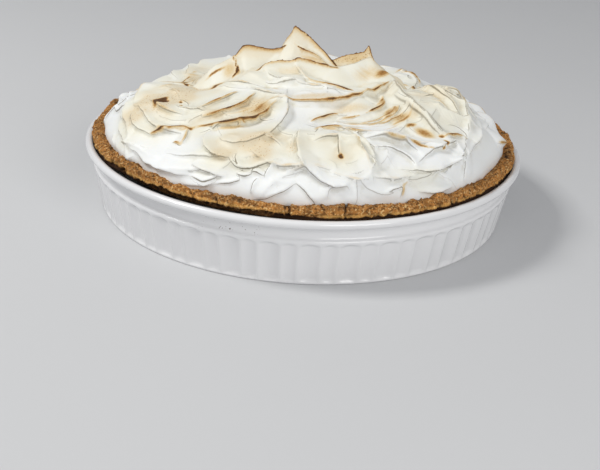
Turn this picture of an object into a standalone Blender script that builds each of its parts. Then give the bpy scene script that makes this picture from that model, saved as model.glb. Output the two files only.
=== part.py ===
"""Lemon meringue pie in its own fluted pie dish, whole and uncut.

Three bodies, one inside the other: a white fluted dish, a crumb crust that fills it and
stands a little above its lip, and a meringue swirled over the top.  Metres, +Z up, with the
origin at the middle of the dish's foot.  -Y is the front of the pie.
"""

import math
from collections import namedtuple

import bmesh
import bpy
import numpy as np
from mathutils import Matrix

MM = 0.001

# Dish
LIP_RADIUS = 127.0 * MM
DISH_HEIGHT = 38.4 * MM
FOOT_RADIUS = 105.0 * MM
FOOT_RECESS = 0.8 * MM
BASE_RADIUS = 118.0 * MM
WALL_RADIUS = 122.7 * MM
WALL_TOP = 25.2 * MM
COVE_RADIUS = 121.0 * MM
LIP_UNDERSIDE = 33.8 * MM
MOUTH_RADIUS = 122.6 * MM
FLOOR_RADIUS = 111.0 * MM
FLOOR_LEVEL = 5.0 * MM
FLUTE_PAIRS = 37
FLUTE_DEPTH = 1.2 * MM
FLUTE_SHOULDER = 2.0 * MM
WIDE_SHARE = 0.575
FIRST_FLUTE = math.radians(-89.8)

# Crust
FIT_GAP = 0.35 * MM
CRUST_TOP = 43.6 * MM
CRUST_BED = 36.0 * MM
CRUST_STEPS = 96
LIFT = 3.0 * MM
SHRINK = 3.4 * MM
SHRUNK_AT = math.radians(-118)
SHRUNK_HALF = math.radians(38)

# Meringue
SEAM_RADIUS = 116.0 * MM
SEAM_LEVEL = 42.0 * MM
SEAM_GAP = 1.0 * MM
DOME_HEIGHT = 38.0 * MM
SHEET_RINGS = 90
SHEET_COLUMNS = 320
MERINGUE_FACES = 4700

# The meringue is laid out as a flat round sheet, in millimetres from its middle with the
# front at -Y, and then draped over the dome.  Headings run anticlockwise from +X, and every
# fold drops steeply on its right-hand side and eases off behind its left.
Lobe = namedtuple("Lobe", "x y width depth rise")
Fold = namedtuple(
    "Fold", "x y heading length turn rise back front sway peak", defaults=(3.5, 9, 2, 0, 0.5)
)
Crest = namedtuple("Crest", "points foot run back_foot back_run")

LOBES = (
    Lobe(0, -22, 36, 26, 4.5),
    Lobe(72, -26, 22, 26, 3),
    Lobe(88, 12, 14, 14, 6),
    Lobe(-84, -38, 18, 22, 4),
    Lobe(-66, 30, 48, 36, -17),
    Lobe(62, 34, 56, 36, -9),
    Lobe(44, 14, 18, 24, -10),
    Lobe(26, 24, 40, 24, -7),
    Lobe(0, 60, 30, 30, -4),
    Lobe(18, -98, 22, 16, 2.5),
    Lobe(-30, -96, 26, 14, 2),
    Lobe(-57, -6, 11, 22, -5),
    Lobe(20, -64, 24, 9, -3),
    Lobe(114, 14, 10, 26, -4),
)

FOLDS = (
    # Behind, where the swirls are broad
    Fold(96, 34, 118, 50, 30),
    Fold(60, 62, 168, 60, 30),
    Fold(20, 92, 176, 66, 26),
    Fold(30, 34, 160, 56, 24),
    Fold(-30, 52, 196, 60, 30),
    Fold(-60, 88, 214, 54, 26),
    Fold(-68, 2, 205, 50, 66, 4.4, 14),
    # Left
    Fold(-97, -25, -100, 50, 36),
    Fold(-104, -44, -88, 44, 60),
    Fold(-90, -44, -76, 46, 52),
    Fold(-84, -44, -54, 28, 22, 4.6, 12),
    Fold(-95, -72, -60, 50, 34),
    Fold(-58, -62, 52, 30, -20, 3.4, 7),
    Fold(-55, -66, 2, 36, 66, 4.4, 7),
    Fold(-52, -74, -22, 50, 104, 5.6, 9),
    Fold(-83, -74, 24, 20, -62, 3.2, 5),
    Fold(-43, -87, -62, 76, 147, 4.6, 15, sway=-58),
    Fold(-48, -80, -118, 28, 114, 4.6, 10),
    Fold(-27, -99, -42, 39, 64, 3.4, 8),
    Fold(-37, -101, -122, 32, 118, 4.4, 8, sway=-32),
    # Fan, scoops and right
    Fold(66, -8, -50, 38, 50, 3.8, 10),
    Fold(3, -71, 60, 22, -52, 2.6, 4),
    Fold(19, -61, 16, 35, 64, 3.0, 4),
    Fold(30, -61, 12, 26, 64, 3.0, 4),
    Fold(12, -75, -20, 67, 26, 4.4, 6, sway=-14),
    Fold(47, -16, -94, 62, 76, 8.0, 9, 4.0, peak=0.3),
    Fold(72, -67, 64, 24, -64, 4.0, 5),
    Fold(-2, -78, -90, 48, 104, 4.6, 8),
    Fold(6, -93, 60, 42, -130, 6.0, 7),
    Fold(37, -111, 122, 36, -8, 4.4, 10),
    Fold(30, -83, 26, 38, -110, 4.0, 7, sway=-35),
    Fold(50, -98, 8, 54, 76, 4.4, 9),
    Fold(59, -90, 62, 42, -26, 4.0, 9),
    Fold(82, -62, -70, 30, -60, 3.4, 9),
    Fold(60, -2, -40, 48, -30, 4.4, 14),
    Fold(84, -8, -70, 46, -20, 4.4, 12),
    Fold(106, -26, 84, 50, 24, 4.0, 12),
    # Skirt
    Fold(-28, -125, 12, 27, 24, 3.0, 7),
    Fold(-4, -117, 6, 18, -60, 3.0, 7),
    Fold(36, -108, 10, 26, 24, 2.8, 7),
    Fold(43, -113, 34, 13, 10, 3.2, 5),
    # Lower edge of the crown
    Fold(-23, -51, -10, 98, 82, 4.6, 14, sway=4),
    Fold(-46, -28, -30, 26, 20, 3.0, 7),
    Fold(-30, -40, -50, 26, 30, 3.0, 8),
)

# The crown's standing ridges, in millimetres: each runs through these points and falls in a
# hollow face to one level on its right-hand side and to another behind.
CRESTS = (
    # The brow at the left, running in behind the main peak
    Crest(((-42, -7, 87), (-35, -5, 94), (-22, -5, 92), (-10, -6, 95), (6, -15, 92)), 84, 5, 82, 6),
    # The lower ridge in front of it
    Crest(((-29, -23, 84), (-17, -18, 90), (-5, -18, 93), (3, -18, 91), (16, -17, 86)), 83, 7, 82, 3),
    # The main peak and the ridge that falls to its right
    Crest(((-16, -4, 91), (-13, -4, 98), (-8.5, -4, 106.4), (-1, -6, 102), (16, -17, 87)), 86, 7, 80, 7),
    # The second peak, a thin fin, and the slope in front of it
    Crest(((11, -14, 88), (18, -12, 92), (31, -9, 95), (33.6, -8, 99), (39, -13, 86)), 86, 3, 78, 4),
    Crest(((13, -20, 86), (20, -17, 88), (26, -15, 90), (34, -10, 92)), 82, 12, 84, 2),
    # The tongue that laps down in front
    Crest(((-8, -20, 89), (-4, -25, 87), (3, -35, 84), (16, -39, 82), (23, -42, 79)), 79, 2, 79, 12),
    # The lip at the far left
    Crest(((-40, -5, 91), (-42, -8, 88), (-40, -14, 84), (-39, -20, 81), (-43, -28, 77)), 72, 2, 77, 5),
)


def clear_scene():
    for item in list(bpy.data.objects):
        bpy.data.objects.remove(item, do_unlink=True)


def finish(name, colour, roughness):
    material = bpy.data.materials.new(name)
    material.use_nodes = True
    shader = material.node_tree.nodes["Principled BSDF"]
    shader.inputs["Base Color"].default_value = (*colour, 1.0)
    shader.inputs["Roughness"].default_value = roughness
    shader.inputs["Metallic"].default_value = 0.0
    return material


def turned(name, outline, steps, start, place, material):
    """Spins an outline of (radius, height) about Z, then moves each point with place."""
    form = bmesh.new()
    corners = [form.verts.new((radius, 0.0, height)) for radius, height in outline]
    for below, above in zip(corners, corners[1:]):
        form.edges.new((below, above))
    bmesh.ops.rotate(form, verts=form.verts, matrix=Matrix.Rotation(start, 3, "Z"))
    bmesh.ops.spin(
        form,
        geom=form.verts[:] + form.edges[:],
        axis=(0.0, 0.0, 1.0),
        cent=(0.0, 0.0, 0.0),
        angle=math.tau,
        steps=steps,
    )
    bmesh.ops.remove_doubles(form, verts=form.verts, dist=0.00001)
    bmesh.ops.triangulate(form, faces=form.faces)
    place(form.verts)
    bmesh.ops.recalc_face_normals(form, faces=form.faces)
    mesh = bpy.data.meshes.new(name)
    form.to_mesh(mesh)
    form.free()
    mesh.materials.append(material)
    mesh.shade_smooth()
    mesh.set_sharp_from_angle(angle=math.radians(35))
    body = bpy.data.objects.new(name, mesh)
    bpy.context.scene.collection.objects.link(body)
    return body


def rounded(centre_radius, centre_height, size, first, last, count):
    """Points along an arc of a section, with angles in degrees from outward."""
    points = []
    for step in range(count):
        angle = math.radians(first + (last - first) * step / (count - 1))
        points.append((centre_radius + size * math.cos(angle), centre_height + size * math.sin(angle)))
    return points


# ---------------------------------------------------------------- dish


def dish_outline():
    lip = rounded(LIP_RADIUS - 2.2 * MM, DISH_HEIGHT - 2.2 * MM, 2.2 * MM, -50, 90, 3)
    return (
        [
            (0.0, FOOT_RECESS),
            (FOOT_RADIUS - 1.0 * MM, FOOT_RECESS),
            (FOOT_RADIUS, 0.0),
            (BASE_RADIUS, 0.0),
            (WALL_RADIUS, WALL_TOP),
            (COVE_RADIUS, WALL_TOP + FLUTE_SHOULDER),
            (COVE_RADIUS, LIP_UNDERSIDE - 0.3 * MM),
        ]
        + lip
        + [
            (MOUTH_RADIUS, DISH_HEIGHT - 0.6 * MM),
            (FLOOR_RADIUS + 2.2 * MM, FLOOR_LEVEL + 1.6 * MM),
            (FLOOR_RADIUS, FLOOR_LEVEL),
            (0.0, FLOOR_LEVEL),
        ]
    )


def flute(angle):
    """How far the wall is hollowed at this angle, from 0 on a ridge to 1 mid flute."""
    turn = ((angle - FIRST_FLUTE) * FLUTE_PAIRS / math.tau) % 1.0
    if turn < WIDE_SHARE:
        return math.sin(math.pi * turn / WIDE_SHARE)
    return 0.8 * math.sin(math.pi * (turn - WIDE_SHARE) / (1.0 - WIDE_SHARE))


def flute_wall(verts):
    """Steers every fourth step onto a ridge and hollows the wall between the ridges."""
    pair = math.tau / FLUTE_PAIRS
    stops = (0.0, WIDE_SHARE / 2, WIDE_SHARE, (1 + WIDE_SHARE) / 2)
    for vert in verts:
        radius = math.hypot(vert.co.x, vert.co.y)
        if radius < 1.0 * MM:
            continue
        step = round((math.atan2(vert.co.y, vert.co.x) - FIRST_FLUTE) * 4 / pair)
        angle = FIRST_FLUTE + pair * (step // 4 + stops[step % 4])
        on_wall = vert.co.z < WALL_TOP + 0.1 * MM and radius > BASE_RADIUS - 0.2 * MM
        if on_wall:
            radius -= FLUTE_DEPTH * flute(angle + 1e-9)
        vert.co.x = radius * math.cos(angle)
        vert.co.y = radius * math.sin(angle)


def make_dish():
    glaze = finish("dish_glaze", (0.80, 0.80, 0.80), 0.22)
    return turned("dish", dish_outline(), 4 * FLUTE_PAIRS, FIRST_FLUTE, flute_wall, glaze)


# ---------------------------------------------------------------- crust


def seam_radius(angle):
    """The wavering line where the meringue meets the crust."""
    waver = 0.9 * math.sin(5 * angle + 0.6) + 0.7 * math.sin(9 * angle + 2.1)
    return SEAM_RADIUS + (waver + 0.4 * math.sin(17 * angle)) * MM


def shrunk(angle):
    """From 0 where the crust touches the dish to 1 at the front left, where it stands away."""
    away = abs((angle - SHRUNK_AT + math.pi) % math.tau - math.pi)
    return 0.5 + 0.5 * math.cos(math.pi * min(away / SHRUNK_HALF, 1.0))


def crust_outline():
    return [
        (0.0, FLOOR_LEVEL + FIT_GAP),
        (FLOOR_RADIUS - 0.6 * MM, FLOOR_LEVEL + FIT_GAP),
        (FLOOR_RADIUS + 1.6 * MM, FLOOR_LEVEL + 2.2 * MM),
        (MOUTH_RADIUS - 0.9 * MM, DISH_HEIGHT - 2.6 * MM),
        (MOUTH_RADIUS - 0.5 * MM, DISH_HEIGHT + 0.5 * MM),
        (MOUTH_RADIUS - 1.2 * MM, CRUST_TOP - 1.4 * MM),
        (MOUTH_RADIUS - 3.0 * MM, CRUST_TOP),
        (SEAM_RADIUS + SEAM_GAP, SEAM_LEVEL),
        (SEAM_RADIUS + SEAM_GAP, CRUST_BED),
        (0.0, CRUST_BED),
    ]


def rough_rim(verts):
    """Makes the rim uneven, lifts it off the dish at the front left, and follows the seam."""
    for vert in verts:
        radius = math.hypot(vert.co.x, vert.co.y)
        if radius < SEAM_RADIUS - 1.0 * MM or vert.co.z < DISH_HEIGHT - 4.0 * MM:
            continue
        angle = math.atan2(vert.co.y, vert.co.x)
        lift = LIFT * shrunk(angle)
        shrink = SHRINK * shrunk(angle)
        lump = 0.5 * math.sin(23 * angle) + 0.4 * math.sin(37 * angle + 1.0) + 0.3 * math.sin(11 * angle)
        if radius < SEAM_RADIUS + SEAM_GAP + 0.1 * MM:
            radius += seam_radius(angle) - SEAM_RADIUS
        elif vert.co.z < DISH_HEIGHT:
            radius -= shrink
        elif vert.co.z < DISH_HEIGHT + 1.0 * MM:
            radius -= 0.25 * shrink
            vert.co.z += lift
        else:
            radius += 0.3 * lump * MM - 0.2 * shrink
            vert.co.z += 0.35 * lift + 0.7 * lump * MM
        vert.co.x = radius * math.cos(angle)
        vert.co.y = radius * math.sin(angle)


def make_crust():
    baked = finish("baked_crust", (0.30, 0.15, 0.06), 0.85)
    return turned("crust", crust_outline(), CRUST_STEPS, 0.0, rough_rim, baked)


# ---------------------------------------------------------------- meringue


def fold_path(fold, count=14):
    """Points along one fold's crest, in millimetres on the flat sheet."""
    part = (np.arange(count) + 0.5) / count
    angle = np.radians(fold.heading + fold.turn * part + 4 * fold.sway * (part * part - part))
    step = fold.length / count
    x = fold.x + np.concatenate([[0.0], np.cumsum(np.cos(angle))]) * step
    y = fold.y + np.concatenate([[0.0], np.cumsum(np.sin(angle))]) * step
    return x, y


def through(points, count=30):
    """A smooth line through the given points."""
    ends = np.concatenate([2 * points[:1] - points[1:2], points, 2 * points[-1:] - points[-2:-1]])
    part = np.linspace(0, len(points) - 1, count + 1)
    first = np.minimum(part.astype(int), len(points) - 2)
    t = (part - first)[:, None]
    before, start, end, after = (ends[first + k] for k in range(4))
    bend = (2 * before - 5 * start + 4 * end - after) * t**2
    twist = (3 * start - before - 3 * end + after) * t**3
    return 0.5 * (2 * start + (end - before) * t + bend + twist)


def beside(line_x, line_y, x, y):
    """How far each point is left of the line, and what part of the way along it."""
    nearest = np.full(x.shape, np.inf)
    left = np.zeros_like(x)
    along = np.zeros_like(x)
    for k in range(len(line_x) - 1):
        dx = line_x[k + 1] - line_x[k]
        dy = line_y[k + 1] - line_y[k]
        part = np.clip(((x - line_x[k]) * dx + (y - line_y[k]) * dy) / (dx * dx + dy * dy), 0, 1)
        gap_x = x - line_x[k] - part * dx
        gap_y = y - line_y[k] - part * dy
        gap = np.hypot(gap_x, gap_y)
        closer = gap < nearest
        nearest = np.where(closer, gap, nearest)
        left = np.where(closer, np.where(dx * gap_y >= dy * gap_x, gap, -gap), left)
        along = np.where(closer, (k + part) / (len(line_x) - 1), along)
    return left, along


def swell(along, peak):
    """Rises from 0 at the start of a fold to 1 at its peak and back to 0 at its end."""
    part = np.where(along < peak, along / peak, 1 + (along - peak) / (1 - peak))
    return np.sin(math.pi * np.clip(part / 2, 0, 1)) ** 0.6


def sheet_height(x, y):
    """Height of the folded sheet over the dome, in millimetres."""
    height = np.zeros_like(x)
    for lobe in LOBES:
        reach = ((x - lobe.x) / lobe.width) ** 2 + ((y - lobe.y) / lobe.depth) ** 2
        height += lobe.rise * np.exp(-(reach**1.25))
    base = height.copy()
    for fold in FOLDS:
        left, along = beside(*fold_path(fold), x, y)
        size = swell(along, fold.peak)
        behind = np.clip(left / fold.back, 0, 1)
        swept = 0.7 * size * (left > 0) * (1 - behind) ** 2
        section = np.where(left > 0, (1 - behind) ** 2, np.exp(np.minimum(left, 0) / fold.front))
        height = height * (1 - swept) + base * swept + fold.rise * size * section
    return height


def falling(top, foot, away, run):
    """A hollow face that falls from a crest towards the level of its foot."""
    hollow = np.maximum(top - foot, 0) * np.exp(-away / run)
    return foot + hollow + np.minimum(top - foot, 0) - 0.1 * away - 0.02 * away**2


def crowned(x, y, z):
    """The height in millimetres once the crown's ridges stand on it."""
    for crest in CRESTS:
        line_x, line_y, line_z = through(np.array(crest.points, float)).T
        left, along = beside(line_x, line_y, x, y)
        top = np.interp(along, np.linspace(0, 1, len(line_z)), line_z)
        face = falling(top, crest.foot, np.maximum(-left, 0), crest.run)
        back = falling(top, crest.back_foot, np.maximum(left, 0), crest.back_run)
        z = np.maximum(z, np.where(left < 0, face, back))
    return z


def draped(u, v):
    """Places points of the flat sheet over the dome, in metres."""
    slopes = np.linspace(0.0, math.pi / 2, 200)
    steps = np.hypot(np.diff(SEAM_RADIUS * np.sin(slopes)), np.diff(DOME_HEIGHT * np.cos(slopes)))
    spread = np.concatenate([[0.0], np.cumsum(steps)])
    share = np.hypot(u, v)
    turn = np.arctan2(v, u)
    slope = np.interp(share * spread[-1], spread, slopes)
    x = share * spread[-1] * np.cos(turn) / MM
    y = share * spread[-1] * np.sin(turn) / MM
    edge = np.clip((1 - share) * spread[-1] / (6 * MM), 0, 1)
    rise = sheet_height(x, y) * edge * MM
    tilt = np.arctan2(np.sin(slope) / SEAM_RADIUS, np.cos(slope) / DOME_HEIGHT)
    seam = np.array([seam_radius(angle) for angle in turn])
    radius = SEAM_RADIUS * np.sin(slope) + rise * np.sin(tilt) + (seam - SEAM_RADIUS) * share**6
    x = radius * np.cos(turn)
    y = radius * np.sin(turn)
    z = SEAM_LEVEL + DOME_HEIGHT * np.cos(slope) + rise * np.cos(tilt)
    return np.stack([x, y, crowned(x / MM, y / MM, z / MM) * MM], -1)


def make_meringue():
    """The dense folded sheet with its flat bed, thinned to the faces that its folds need."""
    turns = np.linspace(0, math.tau, SHEET_COLUMNS, endpoint=False)
    shares = np.linspace(0, 1, SHEET_RINGS + 1)[1:, None]
    top = draped((shares * np.cos(turns)).ravel(), (shares * np.sin(turns)).ravel())
    summit = draped(np.array([1e-6]), np.array([0.0]))
    bed_level = CRUST_BED + FIT_GAP
    bed = top[-SHEET_COLUMNS:] * (1, 1, 0) + (0, 0, bed_level)
    points = np.concatenate([top, bed, summit, [[0.0, 0.0, bed_level]]])

    faces = []
    for ring in range(SHEET_RINGS):
        for column in range(SHEET_COLUMNS):
            after = (column + 1) % SHEET_COLUMNS
            inner = ring * SHEET_COLUMNS
            outer = inner + SHEET_COLUMNS
            faces.append((inner + column, outer + column, outer + after, inner + after))
    last = SHEET_RINGS * SHEET_COLUMNS
    for column in range(SHEET_COLUMNS):
        after = (column + 1) % SHEET_COLUMNS
        faces.append((len(points) - 2, column, after))
        faces.append((len(points) - 1, last + after, last + column))

    mesh = bpy.data.meshes.new("meringue")
    mesh.from_pydata(points.tolist(), [], faces)
    mesh.materials.append(finish("toasted_meringue", (0.82, 0.79, 0.70), 0.5))
    mesh.shade_smooth()
    mesh.set_sharp_from_angle(angle=math.radians(35))
    body = bpy.data.objects.new("meringue", mesh)
    bpy.context.scene.collection.objects.link(body)
    thin = body.modifiers.new("Thin", "DECIMATE")
    thin.ratio = MERINGUE_FACES / (2 * SHEET_COLUMNS * (SHEET_RINGS + 1))
    return body


def main():
    clear_scene()
    make_dish()
    make_crust()
    make_meringue()


main()
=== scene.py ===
"""Looks of a lemon meringue pie in its own fluted dish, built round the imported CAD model.

Run as a script: it makes the glazed dish, the crumb crust with its loose crumbs, the toasted
meringue and a plain stage.
"""

import math
from collections import namedtuple

import bpy
import numpy as np
from bpy.props import FloatProperty, FloatVectorProperty, IntProperty, PointerProperty
from mathutils import Matrix, Vector, noise
from mathutils.kdtree import KDTree


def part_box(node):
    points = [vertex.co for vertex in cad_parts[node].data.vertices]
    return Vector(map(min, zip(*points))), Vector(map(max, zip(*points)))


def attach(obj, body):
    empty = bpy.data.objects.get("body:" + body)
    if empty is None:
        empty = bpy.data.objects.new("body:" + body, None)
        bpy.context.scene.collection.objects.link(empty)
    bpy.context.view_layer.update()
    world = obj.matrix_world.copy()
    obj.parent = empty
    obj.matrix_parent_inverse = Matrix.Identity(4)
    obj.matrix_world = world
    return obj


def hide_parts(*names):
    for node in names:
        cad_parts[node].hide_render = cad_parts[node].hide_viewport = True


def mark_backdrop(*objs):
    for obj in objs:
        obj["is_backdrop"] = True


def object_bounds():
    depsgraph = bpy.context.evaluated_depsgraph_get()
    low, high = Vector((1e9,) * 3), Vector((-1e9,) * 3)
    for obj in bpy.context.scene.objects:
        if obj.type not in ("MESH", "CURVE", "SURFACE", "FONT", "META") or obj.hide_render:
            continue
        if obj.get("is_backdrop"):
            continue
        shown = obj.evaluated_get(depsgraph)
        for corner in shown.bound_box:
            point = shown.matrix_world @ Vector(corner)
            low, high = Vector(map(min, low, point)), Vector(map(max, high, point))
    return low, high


bl_info = {
    "name": "Lemon Meringue Pie",
    "version": (1, 0, 0),
    "blender": (4, 5, 0),
    "location": "View3D > Sidebar > Pie",
    "description": "Makes a lemon meringue pie in a fluted dish round its CAD model",
    "category": "Object",
}

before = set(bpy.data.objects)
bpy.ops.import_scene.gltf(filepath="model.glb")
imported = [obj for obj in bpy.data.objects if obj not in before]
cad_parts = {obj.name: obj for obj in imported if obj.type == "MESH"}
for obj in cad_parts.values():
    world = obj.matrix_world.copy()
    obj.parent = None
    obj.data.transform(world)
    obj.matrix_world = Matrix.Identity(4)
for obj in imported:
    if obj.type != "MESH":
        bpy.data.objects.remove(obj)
CAD_LOW, CAD_HIGH = (tuple(corner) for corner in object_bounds())
_, DISH_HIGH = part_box("dish")

MM = 0.001
CENTIMETRE = 0.01
FRONT = math.radians(-90)


# ---- sizes and colours


def length_field(name, description, default):
    return FloatProperty(name=name, description=description, default=default, unit="LENGTH")


def colour_field(name, description, default):
    return FloatVectorProperty(name=name, description=description, default=default, subtype="COLOR")


def count_field(name, description, default, least=0):
    return IntProperty(name=name, description=description, default=default, min=least)


class PieDishSettings(bpy.types.PropertyGroup):
    lip_radius: length_field("Lip Radius", "Outer radius of the rolled lip", DISH_HIGH.x)
    height: length_field("Height", "From the foot to the top of the lip", DISH_HIGH.z)
    flute_pairs: count_field(
        "Flute Pairs", "Number of wide flutes, each with a narrow one beside it", 37, 8
    )
    flute_depth: length_field("Flute Depth", "How far a wide flute is hollowed below its ridges", 1.3 * MM)
    glaze: colour_field("Glaze", "Colour of the white glaze", (0.80, 0.80, 0.81))


class PieCrustSettings(bpy.types.PropertyGroup):
    lift: length_field("Lift", "How far the rim stands above the dish where the crust has shrunk", 1.3 * MM)
    shrink: length_field("Shrink", "How far the crust's side has drawn in from the dish there", 3.6 * MM)
    crumbs: count_field("Crumbs", "Loose crumbs baked onto each square centimetre of the rim", 20)
    seed: count_field("Seed", "Places the crumbs", 4)
    baked: colour_field("Baked Colour", "Main brown of the crumb crust", (0.60, 0.265, 0.068))


class PieMeringueSettings(bpy.types.PropertyGroup):
    seam_radius: length_field(
        "Seam Radius", "Mean radius at which the meringue meets the crust", 116.0 * MM
    )
    grain: length_field("Grain", "Edge length of the faces on the meringue", 0.72 * MM)
    whipped: colour_field(
        "Whipped Colour", "White of the meringue where it isn't browned", (0.86, 0.873, 0.868)
    )
    toasted: colour_field("Toasted Colour", "Brown along the ridges of the meringue", (0.40, 0.195, 0.045))


class PieStageSettings(bpy.types.PropertyGroup):
    floor: colour_field("Floor", "Colour of the floor", (0.615, 0.62, 0.63))
    backdrop: colour_field("Backdrop", "Colour of the wall behind", (0.615, 0.62, 0.63))
    camera_height: length_field("Camera Height", "Height of the camera above the floor", 260.2 * MM)
    camera_distance: length_field(
        "Camera Distance", "Distance of the camera in front of the dish's middle", 632.5 * MM
    )


# ---- node expressions


class Value:
    """A number socket that can stand in a Python expression."""

    def __init__(self, graph, socket):
        self.graph = graph
        self.socket = socket

    def __add__(self, other):
        return self.graph.math("ADD", self, other)

    def __sub__(self, other):
        return self.graph.math("SUBTRACT", self, other)

    def __rsub__(self, other):
        return self.graph.math("SUBTRACT", other, self)

    def __mul__(self, other):
        return self.graph.math("MULTIPLY", self, other)

    def __truediv__(self, other):
        return self.graph.math("DIVIDE", self, other)

    def __pow__(self, other):
        return self.graph.math("POWER", self, other)

    __radd__ = __add__
    __rmul__ = __mul__


class Graph:
    """Adds nodes to one node tree."""

    def __init__(self, tree):
        self.tree = tree

    def node(self, kind, settings=None, inputs=None):
        """One node: its settings first, then the value or link of each socket."""
        made = self.tree.nodes.new(kind)
        for name, value in (settings or {}).items():
            setattr(made, name, value)
        for name, value in (inputs or {}).items():
            self.feed(made.inputs[name], value)
        return made

    def feed(self, socket, value):
        if isinstance(value, Value):
            value = value.socket
        if isinstance(value, bpy.types.NodeSocket):
            self.tree.links.new(value, socket)
        elif socket.type == "RGBA" and len(value) == 3:
            socket.default_value = (*value, 1.0)
        else:
            socket.default_value = value

    def math(self, operation, *values, clamp=False):
        settings = {"operation": operation, "use_clamp": clamp}
        made = self.node("ShaderNodeMath", settings, dict(enumerate(values)))
        return Value(self, made.outputs[0])

    def clamped(self, value):
        return self.math("ADD", value, 0.0, clamp=True)

    def step(self, value, start, end):
        """0 below start, 1 above end, and smooth between."""
        inputs = {"Value": value, "From Min": start, "From Max": end}
        made = self.node("ShaderNodeMapRange", {"interpolation_type": "SMOOTHSTEP"}, inputs)
        return Value(self, made.outputs["Result"])

    def mix(self, factor, first, second, blend="MIX"):
        """A colour between two colours."""
        made = self.node("ShaderNodeMix", {"data_type": "RGBA", "blend_type": blend})
        self.feed(made.inputs[0], factor)
        self.feed(made.inputs[6], first)
        self.feed(made.inputs[7], second)
        return made.outputs[2]

    def place(self):
        """The object's own coordinates, as a vector and as three numbers."""
        point = self.node("ShaderNodeTexCoord").outputs["Object"]
        parts = self.node("ShaderNodeSeparateXYZ", inputs={0: point})
        return point, [Value(self, part) for part in parts.outputs]

    def noise(self, point, scale, detail=3.0, roughness=0.55):
        """Fractal noise from 0 to 1; scale is in cycles per metre."""
        inputs = {"Vector": point, "Scale": scale, "Detail": detail, "Roughness": roughness}
        return Value(self, self.node("ShaderNodeTexNoise", inputs=inputs).outputs[0])

    def attribute(self, name):
        made = self.node("ShaderNodeAttribute", {"attribute_name": name})
        return Value(self, made.outputs["Fac"])

    def stored(self, name):
        """An attribute of the geometry, in a geometry tree."""
        inputs = {"Name": name}
        made = self.node("GeometryNodeInputNamedAttribute", {"data_type": "FLOAT"}, inputs)
        return Value(self, made.outputs["Attribute"])

    def bump(self, height, distance, strength=1.0):
        inputs = {"Height": height, "Distance": distance, "Strength": strength}
        return self.node("ShaderNodeBump", inputs=inputs).outputs["Normal"]


def new_material(name):
    """A material with one Principled shader, and the graph to add to it."""
    material = bpy.data.materials.new(name)
    material.use_nodes = True
    shader = material.node_tree.nodes["Principled BSDF"]
    return material, Graph(material.node_tree), shader


def set_shader(graph, shader, values):
    for name, value in values.items():
        graph.feed(shader.inputs[name], value)


# ---- finishes


def glazed_white(settings, speck_level, speck_angle):
    """White glaze with a soft sheen, and a few baked-on specks under the lip."""
    material, graph, shader = new_material("glazed_white")
    point, (x, y, z) = graph.place()
    cloud = graph.noise(point, 14.0, 2.0)
    pitting = graph.noise(point, 420.0, 2.0)
    glaze = graph.mix(cloud, settings.glaze, tuple(0.965 * part for part in settings.glaze))

    angle = graph.math("ARCTAN2", y, x)
    beside = graph.math("ABSOLUTE", angle - speck_angle)
    near = 1.0 - graph.step(beside, 0.05, 0.26)
    off_level = graph.math("ABSOLUTE", z - speck_level)
    in_band = 1.0 - graph.step(off_level, 3.0 * MM, 4.6 * MM)
    dots = graph.step(graph.noise(point, 950.0, 1.0, 0.5), 0.665, 0.70)
    clusters = graph.step(graph.noise(point, 120.0, 1.0), 0.46, 0.58)
    specks = graph.clamped(dots * clusters * near * in_band)
    colour = graph.mix(specks, glaze, (0.16, 0.12, 0.085))

    values = {
        "Base Color": colour,
        "Roughness": 0.16 + 0.10 * cloud,
        "Normal": graph.bump(pitting, 0.05 * MM, 0.25),
        "Coat Weight": 0.5,
        "Coat Roughness": 0.06,
        "IOR": 1.5,
    }
    set_shader(graph, shader, values)
    return material


def baked_crumb(settings):
    """Coarse baked crumbs: mottled brown with paler flecks, darkened by painted shade in the gap, cracks
    and recesses and by real browning along the top edge.
    """
    material, graph, shader = new_material("baked_crumb")
    point, _ = graph.place()
    patches = graph.noise(point, 55.0, 3.0, 0.6)
    grain = graph.noise(point, 620.0, 4.0, 0.65)
    flecks = graph.noise(point, 900.0, 2.0, 0.5)
    baked = settings.baked
    dark = tuple(part * 0.30 for part in baked)
    pale = (0.84, 0.56, 0.25)
    colour = graph.mix(graph.step(patches, 0.30, 0.72), tuple(0.80 * part for part in baked), baked)
    colour = graph.mix(graph.step(1.0 - grain, 0.47, 0.62), colour, dark)
    colour = graph.mix(graph.step(flecks, 0.55, 0.66) * 0.85, colour, pale)
    colour = graph.mix(0.7 * graph.attribute("golden"), colour, (0.80, 0.46, 0.13))
    # browned is mostly painted shade (the shrunk gap, cracks, seams and recesses), with real browning along
    # the top edge.
    colour = graph.mix(graph.attribute("browned"), colour, (0.035, 0.014, 0.005))
    values = {
        "Base Color": colour,
        "Roughness": 0.78 + 0.15 * grain,
        "Normal": graph.bump(grain + 0.4 * flecks, 1.1 * MM, 1.0),
        "Specular IOR Level": 0.25,
    }
    set_shader(graph, shader, values)
    return material


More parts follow.
